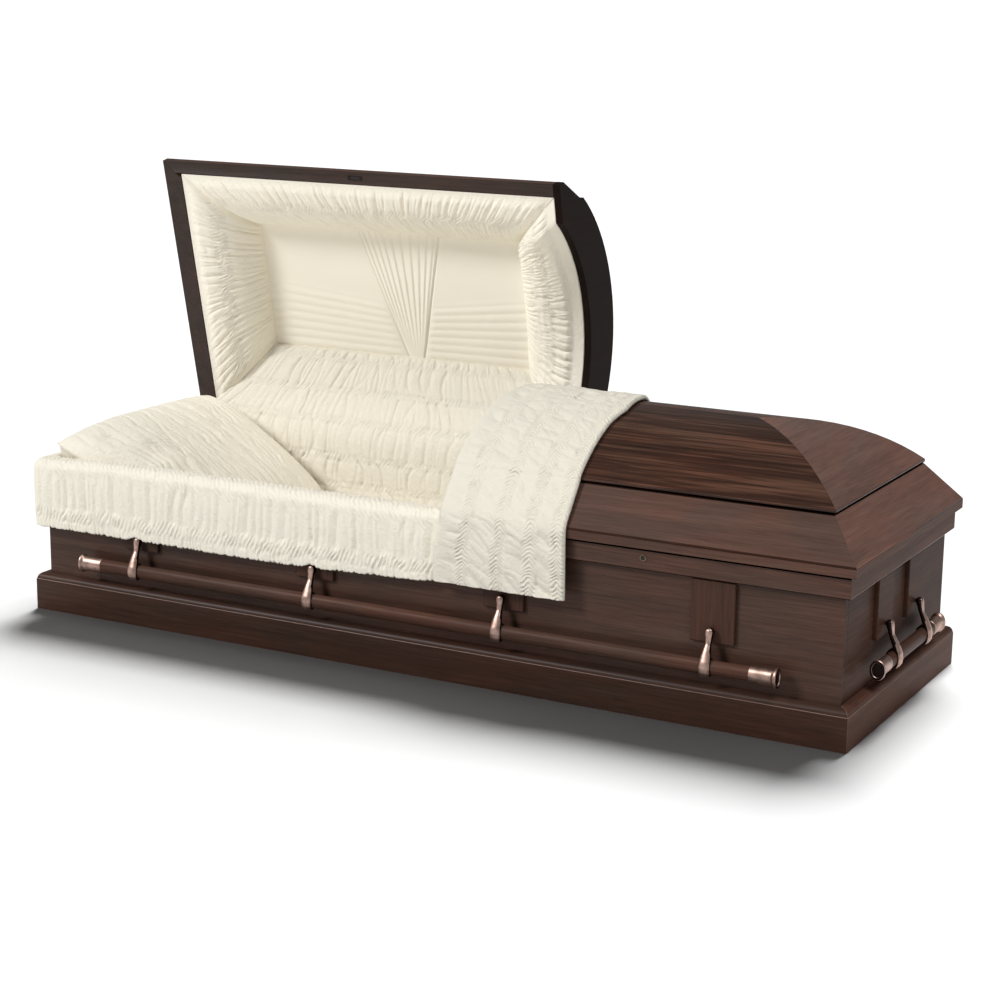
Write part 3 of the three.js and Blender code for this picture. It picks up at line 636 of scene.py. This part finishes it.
def lid_roll(name, outer, inner, rows, reach, seed, pitch, slant=0.0, strip=0.0):
    """A gathered roll round the lid's panel, flat on a strip along its outer edge where it has one."""
    length = np.linalg.norm(outer[-1] - outer[0])
    u = np.linspace(0, 1, count(length, 0.002))
    v = np.linspace(0, 1, count(ROLL_ACROSS, 0.0034))
    grid = roll(resampled(outer, u), resampled(inner, u), v)
    s, t = np.meshgrid(u * length, v * ROLL_ACROSS, indexing="ij")
    ends = smooth(np.minimum(u, 1 - u) * length, 0, 0.03)[:, None]
    edges = (smooth(t[0], 0.004, 0.045) * smooth(ROLL_ACROSS - t[0], 0, 0.02))[None, :]
    rows = [row * ROLL_ACROSS for row in rows]
    height = shirred(s, t, rows, seed, pitch, slant, reach=reach, puff=0.002) * ends * edges
    if strip:
        height = height * smooth(v, strip, strip + 0.12)[None, :]
    front = raised(grid, height, (0, 0, -1))
    piece = slab(name, opened(front), opened(grid + np.array([0, 0, CLOTH_BACK])), LIT_LID_CREPE)
    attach(piece, "head_lid")


def lid_rolls():
    """The rolls along the lid's front and head end, and the one that follows the arched header."""
    rim_z = LID_Z + 0.0015
    head, split = TRAY_X
    panel_head, panel_split = LID_PANEL_X

    def on_rim(x, side):
        return x, side * TRAY_Y, rim_z

    def on_panel(x, side):
        return x, side * LID_PANEL_Y, LID_PANEL_Z

    lid_roll("lid_roll_front", np.array([on_rim(head, -1), on_rim(split, -1)]),
             np.array([on_panel(panel_head, -1), on_panel(panel_split, -1)]),
             rows=(0.5,), reach=0.024, seed=21, pitch=(0.029, 0.016), slant=(0, -4))
    lid_roll("lid_roll_head", np.array([on_rim(head, -1), on_rim(head, 1)]),
             np.array([on_panel(panel_head, -1), on_panel(panel_head, 1)]),
             rows=(0.5,), reach=0.026, seed=31, pitch=(0.03, 0.024), slant=1)
    y = np.linspace(-TRAY_Y, TRAY_Y, 61)
    arched = np.stack([np.full_like(y, split), y, np.maximum(rim_z, arch(y) + 0.003)], axis=1)
    lid_roll("lid_roll_header", arched, np.array([on_panel(panel_split, -1), on_panel(panel_split, 1)]),
             rows=(0.46, 0.66), reach=0.017, seed=41, pitch=(0.024, 0.02, 0.022), strip=0.14)


lid_rolls()


def lid_panel():
    """The recessed panel: a fan of pleats between two plain fields with tucks in their lower half."""
    x = np.linspace(LID_PANEL_X[0] - 0.012, LID_PANEL_X[1] + 0.012, count(0.79, 0.002))
    y = np.linspace(-LID_PANEL_Y - 0.014, LID_PANEL_Y + 0.012, count(0.36, 0.003))
    xx, yy = np.meshgrid(x, y, indexing="ij")
    down = np.clip((yy + LID_PANEL_Y) / (2 * LID_PANEL_Y), 0, 1)
    left, right = between(*FAN_LEFT, down), between(*FAN_RIGHT, down)
    k = (xx - left) / (right - left)
    inside = (k > 0) & (k < 1)
    tooth = (-(k + 0.05 * np.sin(5.5 * k)) * PLEATS) % 1
    pleat = smooth(tooth, 0, 0.3) * (1 - 0.75 * tooth)
    seam = smooth(np.minimum(k, 1 - k) * (right - left), 0, 0.004)
    fan = 0.001 + seam * (0.003 + (0.0014 + 0.0028 * smooth(1 - down, 0, 0.5)) * pleat)
    aside = np.where(k < 0.5, (left - xx) / (left - x[0]), (xx - right) / (x[-1] - right))
    aside = np.clip(aside, 0, 1)
    reach = 0.47 + 0.13 * aside
    turn = (1 - down) / reach * TUCKS
    tuck = np.abs(np.sin(np.pi * turn)) ** 0.7
    ease = smooth(aside, 0.0, 0.06) * (1 - smooth(turn, 0.775 * TUCKS, TUCKS))
    beside = smooth(np.where(k < 0.5, left - xx, xx - right), 0, 0.005)
    field = beside * (0.0035 + 0.0028 * tuck * ease) + 0.002 * noise(xx / 0.16, yy / 0.12, 51)
    height = np.where(inside, fan, field)
    grid = np.stack([xx, yy, np.full_like(xx, LID_PANEL_Z + 0.002)], axis=2)
    front = grid - np.stack([0 * height, 0 * height, height], axis=2)
    piece = slab("lid_panel", opened(front), opened(grid + np.array([0, 0, CLOTH_BACK])), LIT_LID_CLOTH)
    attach(piece, "head_lid")
    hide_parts("head_lid_lining")


lid_panel()


def back_lining():
    """One cloth from the lid's panel over the hinge and down the back wall to the bed."""
    run, on_lid, head_x = 1.08, 0.21, -0.995
    lid_part = [(LID_PANEL_Y, LID_PANEL_Z), (0.2, 0.447), (0.268, 0.392)]
    wall_part = [(0.326, 0.408), (0.305, 0.365), (0.298, 0.30), (LINING_Y, BED_Z - 0.004)]
    line = rounded([opened(np.array([0, y, z]))[1:] for y, z in lid_part] + wall_part, 0.03)
    section, t1 = spaced(line, count(0.49, 0.0038))
    u = np.linspace(0, 1, count(1.1, 0.0025))
    lid_share = np.clip(1 - t1 / on_lid, 0, 1)
    tuck = 0.022 * smooth(lid_share, 0, 0.1)
    x0 = between(head_x, LID_PANEL_X[0], lid_share) - tuck
    x1 = between(TRAY_X[1], LID_PANEL_X[1], lid_share) + tuck
    xx = between(x0[None], x1[None], u[:, None])
    grid = np.stack([xx, np.broadcast_to(section[:, 0], xx.shape),
                     np.broadcast_to(section[:, 1], xx.shape)], axis=2)
    s, t = np.meshgrid(u * run, t1, indexing="ij")
    ends = smooth(np.minimum(u, 1 - u) * run, 0, 0.02)[:, None]
    edges = smooth(t, 0, 0.015)
    rows = [0.036, 0.12, 0.205, 0.295, 0.366, 0.43]
    height = shirred(s, t, rows, 61, 0.042, depth=0.0068) * ends * edges
    front = raised(grid, height, (0, -1, 0))
    piece = slab("back_lining", front, raised(grid, np.full(t.shape, -CLOTH_BACK), (0, -1, 0)), CREPE)
    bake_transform(piece)


back_lining()


def wall_lining():
    """Gathered cloth round the other walls of the body."""
    line = rounded([(TRAY_X[1], LINING_Y), (LINING_X, LINING_Y), (LINING_X, -LINING_Y),
                    (-LINING_X, -LINING_Y), (-LINING_X, LINING_Y - 0.004)], 0.03)
    path, s1 = spaced(line, count(4.2, 0.004))
    z = np.linspace(BED_Z - 0.002, BODY_TOP - 0.006, count(0.22, 0.005))
    grid = np.stack([np.repeat(path[:, :1], len(z), 1), np.repeat(path[:, 1:], len(z), 1),
                     np.repeat(z[None], len(path), 0)], axis=2)
    s, t = np.meshgrid(s1, z, indexing="ij")
    height = shirred(s, t, [0.2, 0.27], 71, 0.045)
    tangent = directions(path)
    inward = np.stack([tangent[:, 1], -tangent[:, 0]], axis=1)
    if inward[len(inward) // 2] @ path[len(path) // 2] > 0:
        inward = -inward
    push = np.concatenate([inward, np.zeros((len(path), 1))], axis=1)[:, None]
    piece = slab("wall_cloth", grid + push * height[..., None], grid - push * 0.005, CREPE)
    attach(piece, "root")
    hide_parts("wall_lining")


wall_lining()


def pillow():
    """A soft pillow leaning from the bed up to the head end, with long wrinkles down its slope."""
    half = span("pillow", Y) / 2
    lift, hang, dip = 0.066, 0.046, 0.014
    foot, head = np.array([-0.597, 0.166]), np.array([-0.996, 0.436])
    along = head - foot
    length = np.linalg.norm(along)
    e = along / length
    n = np.array([e[1], -e[0]])
    k = np.linspace(0, 1, count(length, 0.0034))
    b = np.linspace(-1, 1, count(2 * half, 0.0023))
    kk, bb = np.meshgrid(k, b, indexing="ij")
    end = np.abs(2 * kk - 1)
    swell = (1 - end ** 5) ** 0.5 * (1 - np.abs(bb) ** 7) ** 0.5
    crown = lift * (1 - 0.2 * kk) * swell * (0.82 + 0.18 * np.cos(0.5 * np.pi * bb))
    belly = (hang + 0.02 * smooth(-bb, 0.3, 0.9)) * swell
    sag = dip * np.sin(np.pi * kk)
    rim = smooth((1 - end) * length / 2, 0, 0.02) * smooth((1 - np.abs(bb)) * half, 0, 0.02)
    height = pillow_height(bb * half, kk * length, kk) * rim
    ear = smooth(kk, 0.45, 0.95) * smooth(-bb, 0.4, 1.0)
    wide = half * (1 - 0.03 * end ** 6) + 0.036 * ear
    kk = 0.5 + (kk - 0.5) * (1 - 0.04 * np.abs(bb) ** 6)
    flat = foot + e * (kk * length)[..., None]

    def surface(offset):
        p = flat + n * offset[..., None]
        return np.stack([p[..., 0] - 0.02 * ear, bb * wide, p[..., 1] - 0.016 * ear], axis=2)

    top = surface(crown + sag + height)
    piece = slab("pillow_piece", top, surface(sag - belly), CREPE)
    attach(piece, "root")
    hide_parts("pillow")
    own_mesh(piece)


def pillow_height(s, t, place):
    """Long wrinkles down the slope with others across them, and rows of puckers along the front."""
    worn = 0.5 + 0.5 * noise(s / 0.035, t / 0.07, 85)
    bent = s + 0.012 * noise(s / 0.09, t / 0.045, 86) + 0.004 * noise(s / 0.03, t / 0.02, 88)
    long = creases(bent, place, 0, 0.023, 81, slant=1.0, vary=3.0, narrow=0.006) * (0.3 + 0.9 * worn)
    cross = creases(bent, place, 1, 0.03, 83, slant=-4.0, vary=4.0, narrow=0.0055) * (1.1 - worn)
    thin = creases(bent, place, 2, 0.013, 84, slant=2.0, vary=5.0, narrow=0.0036) * (1.1 - worn)
    rows = np.array([-0.262, -0.214, -0.166, -0.118])
    shift = s + 0.05 * (place - 0.5)
    row = nearest(shift, rows)
    off = shift - rows[row]
    front = 1 - smooth(shift, -0.12, -0.06)
    on_row = front * (1 - smooth(np.abs(off), 0.008, 0.02))
    puffs = 0.5 + 0.5 * noise(s / 0.045, t / 0.05, 87)
    short = gathers(t, off + 0.4 * row, 0.0125, 89, 1.0)
    wrinkles = long + 0.5 * cross + 0.5 * thin
    return 0.009 * (1.0 - wrinkles * (1 - 0.4 * front) - 0.55 * on_row * short) + 0.007 * front * puffs


pillow()


def front_apron():
    """The gathered cloth over the front rim and the head end."""
    out, hem_z, rim_z = 0.0285, 0.229, 0.366
    section = rounded([(-0.030, 0.345), (-0.0295, 0.379), (-0.02, 0.386), (0.014, 0.386), (out, 0.374),
                       (out + 0.002, 0.33), (out, hem_z)], 0.014)
    section, t1 = spaced(section, count(0.25, 0.003))
    start, head_end = 0.093, 0.32
    front_run, corner_run, head_run = start + PANEL_X, 0.05, 2 * head_end
    run = front_run + corner_run + head_run
    s1 = np.linspace(0, run, count(run, 0.0024))
    turn = np.clip((s1 - front_run) / corner_run, 0, 1) * math.pi / 2
    base_x = np.where(s1 < front_run, start - s1, -PANEL_X)
    base_y = np.where(s1 > front_run + corner_run, s1 - front_run - corner_run - PANEL_Y, -PANEL_Y)
    d, z = section[:, 0], section[:, 1]
    head_part = smooth(s1, front_run - 0.2, front_run)
    head_hem, split_rise = 0.2155, 0.0145
    hem = head_hem + split_rise * np.clip((base_x + 0.33) / 0.4, 0, 1) ** 1.2
    for arm in SIDE_ARMS:
        hem = np.where(s1 < front_run, hem + 0.008 * np.exp(-((base_x - arm) / 0.016) ** 2), hem)
    hang = np.clip((rim_z - z) / (rim_z - hem_z), 0, 1)
    z_all = z[None] + (hem[:, None] - hem_z) * hang[None] - 0.008 * (1 - hang[None]) * head_part[:, None]
    bent = (turn > 0) & (turn < math.pi / 2)
    reach = np.where(bent[:, None], np.maximum(d[None], 0.0), d[None])
    reach = reach - 0.007 * smooth(base_x, 0.05, 0.085)[:, None] * (d > 0)[None]
    x = base_x[:, None] - np.sin(turn)[:, None] * reach
    y = base_y[:, None] - np.cos(turn)[:, None] * reach
    grid = np.stack([x, y, z_all], axis=2)
    s, t = np.meshgrid(s1, t1, indexing="ij")
    slope = directions(section)
    lift_d, lift_z = -slope[:, 1], slope[:, 0]
    if lift_z[len(lift_z) // 3] < 0:
        lift_d, lift_z = -lift_d, -lift_z
    push = np.stack([-np.sin(turn)[:, None] * lift_d[None], -np.cos(turn)[:, None] * lift_d[None],
                     np.broadcast_to(lift_z[None], x.shape)], axis=2)
    front = grid + push * apron_height(s, t, t1[-1])[..., None]
    front[..., 2] -= 0.006 * (0.5 - frills(s)) * smooth(t, t1[-1] - 0.016, t1[-1])
    piece = slab("apron_piece", front, grid - push * 0.0045, CREPE)
    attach(piece, "root")
    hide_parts("front_apron")
    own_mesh(piece)


def frills(s):
    """Small close folds along the apron's hem, 0 to 1."""
    return creases(s, 0.5, 4, 0.012, 99, narrow=0.0042)


def apron_height(s, t, end):
    """Down the apron: puckers over the rim, upright folds, a narrow puckered band and a frilled hem."""
    ragged = t + 0.006 * noise(s / 0.02, t / 0.05, 93)
    upper = 1 - smooth(ragged, 0.098, 0.135)
    lower = 1 - smooth(np.abs(ragged - (end - 0.031)), 0.006, 0.022)
    ruffle = smooth(ragged, end - 0.026, end - 0.008)
    upright = (1 - 0.8 * upper) * (1 - 0.8 * lower) * (1 - ruffle)
    place = (t - 0.11) / 0.1
    soft = creases(s, place, 2, 0.025, 95, narrow=0.0085, vary=0.5)
    thin = creases(s, place, 3, 0.031, 97, narrow=0.004, vary=1.2)
    puckers = upper * gathers(s, t, 0.0125, 91, 0.7) + lower * gathers(s, t + 0.4, 0.011, 94, -0.5)
    return 0.004 - upright * (0.008 * soft + 0.003 * thin) - 0.006 * puckers - 0.005 * ruffle * frills(s)


front_apron()


def overlay():
    """The throw folded over the edge of the shut lid, hanging down the front."""
    gap, fold, bend = 0.0065, 0.05, 0.011
    hem_z, back_y, crown_edge = 0.234, 0.208, 0.0084
    rise = RIDGE_Z - (CROWN_Z + crown_edge)
    radius = (CROWN_Y ** 2 + rise ** 2) / (2 * rise)
    turns = np.linspace(-math.asin(CROWN_Y / radius), math.asin(back_y / radius), 25)
    crown = [((radius + gap) * math.sin(a), RIDGE_Z - radius + (radius + gap) * math.cos(a)) for a in turns]
    line = rounded([(-LID_Y - gap - 0.001, hem_z), (-LID_Y - gap, FASCIA_Z + 0.003),
                    (-CROWN_Y - gap, BEVEL_Z + 0.004)] + crown, 0.022)
    section, t1 = spaced(line, count(0.83, 0.0019))
    hem_t = [0, 0.15, 0.27, 0.46, 0.53, 0.65, 0.79, t1[-1]]
    hem_x = [0.409, 0.407, 0.407, 0.404, 0.411, 0.392, 0.352, 0.31]
    hem = np.interp(t1, hem_t, hem_x)
    v = np.linspace(0, 1, count(0.37, 0.0021))
    left = np.interp(section[:, 1], (0.315, 0.36), (0.08, SPLIT_X - 0.0085))
    slope = directions(section)
    lift = np.stack([-slope[:, 1], slope[:, 0]], axis=1)
    width = hem - left - bend
    s = -fold + v[:, None] * (width[None] + fold)
    angle = np.clip(-s / bend, 0, math.pi / 2)
    flat_x = left + bend + np.maximum(s, 0)
    x = np.where(s >= 0, flat_x, left + bend * (1 - np.sin(angle)))
    drop = np.where(s >= 0, 0, bend * (1 - np.cos(angle)) + np.maximum(-s - bend * math.pi / 2, 0))
    bends = t1[np.argmin(np.hypot(section[:, 0] + CROWN_Y, section[:, 1] - BEVEL_Z))]
    height = overlay_height(s, t1, width, smooth(np.abs(t1 - bends), 0.008, 0.03))
    turn_in = np.where(s < 0, np.sin(angle), 0)

    def surface(lifted):
        off = lifted * (1 - turn_in) - drop
        return np.stack([x - 0.3 * lifted * turn_in, section[:, 0][None] + lift[:, 0][None] * off,
                         section[:, 1][None] + lift[:, 1][None] * off], axis=2)

    under = surface(0 * height - 0.0025) + np.stack([0.003 * turn_in, 0 * s, 0 * s], axis=2)
    piece = slab("overlay_piece", surface(height), under, SHADED_THROW_CREPE)
    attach(piece, "foot_lid")
    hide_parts("overlay")


def overlay_height(s, t1, width, open_part):
    """Gathered bands down the drape, one on the hem, and calm cloth with slanting creases between them."""
    t = np.broadcast_to(t1[None], s.shape)
    k = s / width[None]
    bands = np.array([0.21, 0.49, 0.735, 0.955])
    row = nearest(k, bands)
    off = (k - bands[row]) * 0.32 + 0.003 * noise(t / 0.04, s / 0.04, 117)
    band = 1 - smooth(np.abs(off), 0.011, 0.022)
    part, place = banded(k, np.concatenate([[k.min()], bands, [1.0]]))
    wave = noise((t + 0.8 * s) / 0.04, (s - 0.8 * t) / 0.1, 121)
    pull = creases(t, place, part, 0.042, 127, slant=1.1, vary=1.4, narrow=0.0065)
    pull = pull + 0.5 * creases(t, place, part + FINER, 0.024, 147, slant=2.0, vary=1.8, narrow=0.004)
    calm = (1 - band) * open_part[None] * smooth(s, 0.0, 0.045)
    braid = gathers(t, np.abs(off) + 0.3 * row, 0.0092, 111, 0.9)
    height = 0.008 + calm * (0.0038 * wave - 0.0055 * pull) - 0.0062 * band * braid
    return np.maximum(height, 0.0004) * smooth(s, -0.035, 0.01) * (1 - smooth(k, 0.985, 1.0) * 0.7)


overlay()


# Handles, laid out along X on the front and turned to each side
def tube_faces(rings, sides):
    """Faces that join rings of points into a tube, and a cap on each end."""
    faces = []
    for i in range(rings - 1):
        for j in range(sides):
            k = (j + 1) % sides
            faces.append((i * sides + j, i * sides + k, (i + 1) * sides + k, (i + 1) * sides + j))
    faces.append(tuple(reversed(range(sides))))
    faces.append(tuple((rings - 1) * sides + j for j in range(sides)))
    return faces


def lathe(profile, sides, flatness=1.0):
    """Rings about the X axis from (place, half height) pairs, drawn in along Y by flatness."""
    angle = np.linspace(0, 2 * math.pi, sides, endpoint=False)
    verts = [(place, flatness * radius * math.cos(a), radius * math.sin(a))
             for place, radius in profile for a in angle]
    return np.array(verts), tube_faces(len(profile), sides)


def turned(verts, turn, reach):
    """From a side laid along X, with its panel face at y = 0, to its own side of the body."""
    c, s = math.cos(turn), math.sin(turn)
    x, y = verts[:, 0], verts[:, 1] - reach
    return np.stack([x * c - y * s, x * s + y * c, verts[:, 2]], axis=1)


def finish_piece(obj, body, nodes):
    """Normals turned outward and hard edges kept, on its body, in place of its nodes."""
    bpy.context.view_layer.update()
    form = bmesh.new()
    form.from_mesh(obj.data)
    bmesh.ops.recalc_face_normals(form, faces=form.faces)
    form.to_mesh(obj.data)
    form.free()
    obj.data.set_sharp_from_angle(angle=math.radians(38))
    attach(obj, body)
    if nodes:
        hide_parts(*nodes)


def arm_body(x, pivot_z):
    """A bottle-shaped strap hung on the pivot and ending in front of the bar."""
    top, foot = pivot_z + 0.0085, BAR_Z - 0.021
    stations = [(top, 0.0030, 0.003), (top - 0.0015, 0.0066, 0.0064), (top - 0.006, 0.0090, 0.0088),
                (pivot_z - 0.004, 0.0092, 0.0088), (pivot_z - 0.013, 0.0076, 0.0072),
                (pivot_z - 0.024, 0.0066, 0.0062), (pivot_z - 0.036, 0.0084, 0.0074),
                (pivot_z - 0.049, 0.0114, 0.0078), (BAR_Z + 0.012, 0.0128, 0.0076),
                (BAR_Z, 0.0132, 0.0072), (BAR_Z - 0.011, 0.0128, 0.0066),
                (BAR_Z - 0.018, 0.0112, 0.0055), (foot, 0.0088, 0.003)]
    middles = [(foot, BAR_OUT + 0.0070), (BAR_Z - 0.011, BAR_OUT + 0.0115), (BAR_Z, BAR_OUT + 0.0125),
               (BAR_Z + 0.012, BAR_OUT + 0.0105), (pivot_z - 0.036, BAR_OUT - 0.0005),
               (pivot_z - 0.024, PIVOT_OUT + 0.005), (pivot_z, PIVOT_OUT)]
    fine = np.linspace(top, foot, 40)
    heights, wide, deep = (np.array(column)[::-1] for column in zip(*stations))
    wide, deep = np.interp(fine, heights, wide), np.interp(fine, heights, deep)
    centre = np.interp(fine, *zip(*middles))
    sides = 20
    angle = np.linspace(0, 2 * math.pi, sides, endpoint=False)
    cx = np.sign(np.cos(angle)) * np.abs(np.cos(angle)) ** 0.8
    cy = np.sign(np.sin(angle)) * np.abs(np.sin(angle)) ** 0.8
    verts = [(x + w * a, -(o + d * b), z)
             for z, w, d, o in zip(fine, wide, deep, centre) for a, b in zip(cx, cy)]
    return np.array(verts), tube_faces(len(fine), sides)


def ring_body(x):
    """The band round the bar."""
    half, inner, outer = 0.0095, BAR_RADIUS + 0.0004, BAR_RADIUS + 0.0045
    profile = [(-half, inner), (-half, outer - 0.001), (-half + 0.001, outer), (half - 0.001, outer),
               (half, outer - 0.001), (half, inner)]
    sides = 40
    verts, faces = lathe(profile, sides, BAR_FLATNESS)
    last = (len(profile) - 1) * sides
    faces = faces[:-2]
    faces += [(last + j, last + (j + 1) % sides, (j + 1) % sides, j) for j in range(sides)]
    return verts + np.array([x, -BAR_OUT, BAR_Z]), faces


def darkened(piece, bright):
    """Every face of a copper piece that isn't bright takes the dark patina, on the arms also as painted shade."""
    piece.data.materials.append(PATINA_AND_SHADE)
    for face in piece.data.polygons:
        face.material_index = 0 if bright(face) else 1


def handle(side, reach, turn, grain, arms_at, bar_half):
    """One side's swinging bar with its tips and arms, and the plates that it hangs on."""
    body = side + "_handle"
    fused = body in frame["nodes"]
    pivot_z = JOINTS[side + "_handle_swing"]["pos_m"][2]
    bar_place = np.array([0, -BAR_OUT, BAR_Z])
    outward = Vector((math.sin(turn), -math.cos(turn), 0))
    end = bar_half - TIP

    verts, faces = lathe([(-end, BAR_RADIUS), (end, BAR_RADIUS)], 48, BAR_FLATNESS)
    bar = add_object(side + "_bar_piece", turned(verts + bar_place, turn, reach), faces, BAR_WOOD[grain])
    finish_piece(bar, body, [body] if fused else [side + "_bar"])
    sleeve = BAR_RADIUS + 0.0012
    outline = [(0, sleeve - 0.001), (0.001, sleeve), (TIP * 0.7, sleeve + 0.0003),
               (TIP - 0.0115, sleeve + 0.0012), (TIP - 0.0105, sleeve - 0.0006), (TIP - 0.009, sleeve),
               (TIP - 0.0065, TIP_FLANGE - 0.0008), (TIP - 0.0055, TIP_FLANGE), (TIP - 0.0015, TIP_FLANGE),
               (TIP, TIP_FLANGE - 0.0015), (TIP, TIP_FLANGE - 0.0055), (TIP - 0.002, TIP_FLANGE - 0.007),
               (TIP - 0.002, 0.001)]

    def outside_cup(face):
        return abs(face.center[grain]) < bar_half - 0.003 or abs(face.normal[grain]) < 0.9

    for i, sign in enumerate((-1, 1)):
        verts, faces = lathe(outline, 48, BAR_FLATNESS)
        verts = (verts + np.array([end, 0, 0])) * np.array([sign, 1, 1]) + bar_place
        piece = add_object(f"{side}_tip_piece_{i + 1}", turned(verts, turn, reach), faces, COPPER)
        finish_piece(piece, body, [] if fused else [f"{side}_tip_{i + 1}"])
        darkened(piece, outside_cup)
    for i, x in enumerate(arms_at):
        strap, strap_faces = arm_body(x, pivot_z)
        band, band_faces = ring_body(x)
        shift = len(strap)
        verts = np.concatenate([strap, band])
        faces = strap_faces + [tuple(k + shift for k in f) for f in band_faces]
        piece = add_object(f"{side}_arm_piece_{i + 1}", turned(verts, turn, reach), faces, COPPER)
        finish_piece(piece, body, [] if fused else [f"{side}_arm_{i + 1}"])
        # Arms keep copper only on faces toward the front; their sides and bands take the dark patina, partly as
        # painted shade.
        straps = len(strap_faces)
        darkened(piece, lambda face: face.index < straps and face.normal.dot(outward) > 0.45)
    for i in range(len(arms_at)):
        piece = dressed(f"{side}_plate_{i + 1}", PLATE_WOOD if grain == X else SHADED_PANEL_WOOD, bevel=0.0008)


handle("front", PANEL_Y, 0, X, SIDE_ARMS, high("front_tip_2", X))
handle("back", PANEL_Y, math.pi, X, SIDE_ARMS, high("front_tip_2", X))
handle("foot", PANEL_X, math.pi / 2, Y, END_ARMS, high("foot_tip_2", Y))
handle("head", PANEL_X, -math.pi / 2, Y, END_ARMS, high("foot_tip_2", Y))


# Small trim
def lock():
    """A ringed keyhole on the front rail."""
    place = np.array([0.583, -RAIL_Y, RAIL_Z + 0.003])
    ring = [(0, 0.0078), (0.0012, 0.0078), (0.002, 0.007), (0.0016, 0.0052), (0, 0.005)]
    # The keyhole is a thin near-black disc: painted shade for its inside.
    hole = [(0, 0.0052), (0.0006, 0.0052)]
    for name, profile, material in (("lock_ring", ring, BRASS), ("lock_hole", hole, HOLE_SHADE_BLACK)):
        verts, faces = lathe(profile, 32)
        piece = add_object(name, turned(verts, -math.pi / 2, 0) + place, faces, material)
        finish_piece(piece, "root", [])


lock()


def lid_catch():
    """A dark catch let into the front rim of the head lid."""
    # The slot is a thin near-black box: painted shade for its inside.
    for name, half, proud, material in (("catch_plate", (0.021, 0.006), 0.0006, PATINA_AND_SHADE),
                                        ("catch_slot", (0.012, 0.0035), 0.0008, HOLE_SHADE_BLACK)):
        box = [(-0.474 + a * half[0], -0.344 + b * half[1], LID_Z + c)
               for a, b in ((-1, -1), (1, -1), (1, 1), (-1, 1)) for c in (-proud, 0.0002)]
        faces = [(0, 2, 4, 6), (1, 7, 5, 3), (0, 1, 3, 2), (2, 3, 5, 4), (4, 5, 7, 6), (6, 7, 1, 0)]
        piece = add_object(name, opened(np.array(box)), faces, material, False)
        finish_piece(piece, "head_lid", [])


lid_catch()


# Floor, light and camera
FLOOR_HALF = 400
CAMERA_PLACE = (2.45573, -4.48257, 1.5477)
CAMERA_TURNS = (28.2, -13.38, 0.68)
FOCAL_WIDTHS = 2.22088


def stage():
    """A white floor that only its own light reaches, two lights for the casket and the photo's camera."""
    scene = bpy.context.scene
    corners = [(a * FLOOR_HALF, b * FLOOR_HALF, 0) for a, b in ((-1, -1), (1, -1), (1, 1), (-1, 1))]
    white = plain("floor_white", (0.45, 0.45, 0.45), 0.9)
    floor = add_object("floor", corners, [(0, 1, 2, 3)], white, False)
    floor.location.z = -0.0005
    world = bpy.data.worlds.new("studio")
    scene.world = world
    world.use_nodes = True
    world.node_tree.nodes["Background"].inputs["Color"].default_value = (1, 1, 1, 1)
    world.node_tree.nodes["Background"].inputs["Strength"].default_value = 0.2
    for name, towards, energy, angle, on_floor in (
            ("floor_light", (-0.1, 0.72, 1), 8.2, 28, True),
            ("key", (-0.85, -1, 0.9), 1.85, 15, False),
            ("top_right", (0.5, -0.35, 1.3), 1.45, 25, False)):
        sun = bpy.data.lights.new(name, "SUN")
        sun.energy = energy
        sun.angle = math.radians(angle)
        lamp = bpy.data.objects.new(name, sun)
        lamp.rotation_euler = Vector(towards).to_track_quat("Z", "Y").to_euler()
        scene.collection.objects.link(lamp)
        lit = bpy.data.collections.new(name + "_lit")
        lit.objects.link(floor)
        lamp.light_linking.receiver_collection = lit
        lit.collection_objects[0].light_linking.link_state = "INCLUDE" if on_floor else "EXCLUDE"
    scene.view_settings.view_transform = "Standard"

    camera = bpy.data.cameras.new("camera")
    camera.sensor_width = 36
    camera.lens = FOCAL_WIDTHS * camera.sensor_width
    camera.clip_end = 1000
    yaw, pitch, tilt = (math.radians(angle) for angle in CAMERA_TURNS)
    ahead = Vector((-math.sin(yaw) * math.cos(pitch), math.cos(yaw) * math.cos(pitch), math.sin(pitch)))
    right = Vector((math.cos(yaw), math.sin(yaw), 0))
    up = right.cross(ahead)
    across = right * math.cos(tilt) + up * math.sin(tilt)
    upward = up * math.cos(tilt) - right * math.sin(tilt)
    view = bpy.data.objects.new("camera", camera)
    view.matrix_world = Matrix((across, upward, -ahead)).transposed().to_4x4()
    view.location = CAMERA_PLACE
    scene.collection.objects.link(view)
    scene.camera = view


stage()
bpy.context.view_layer.update()
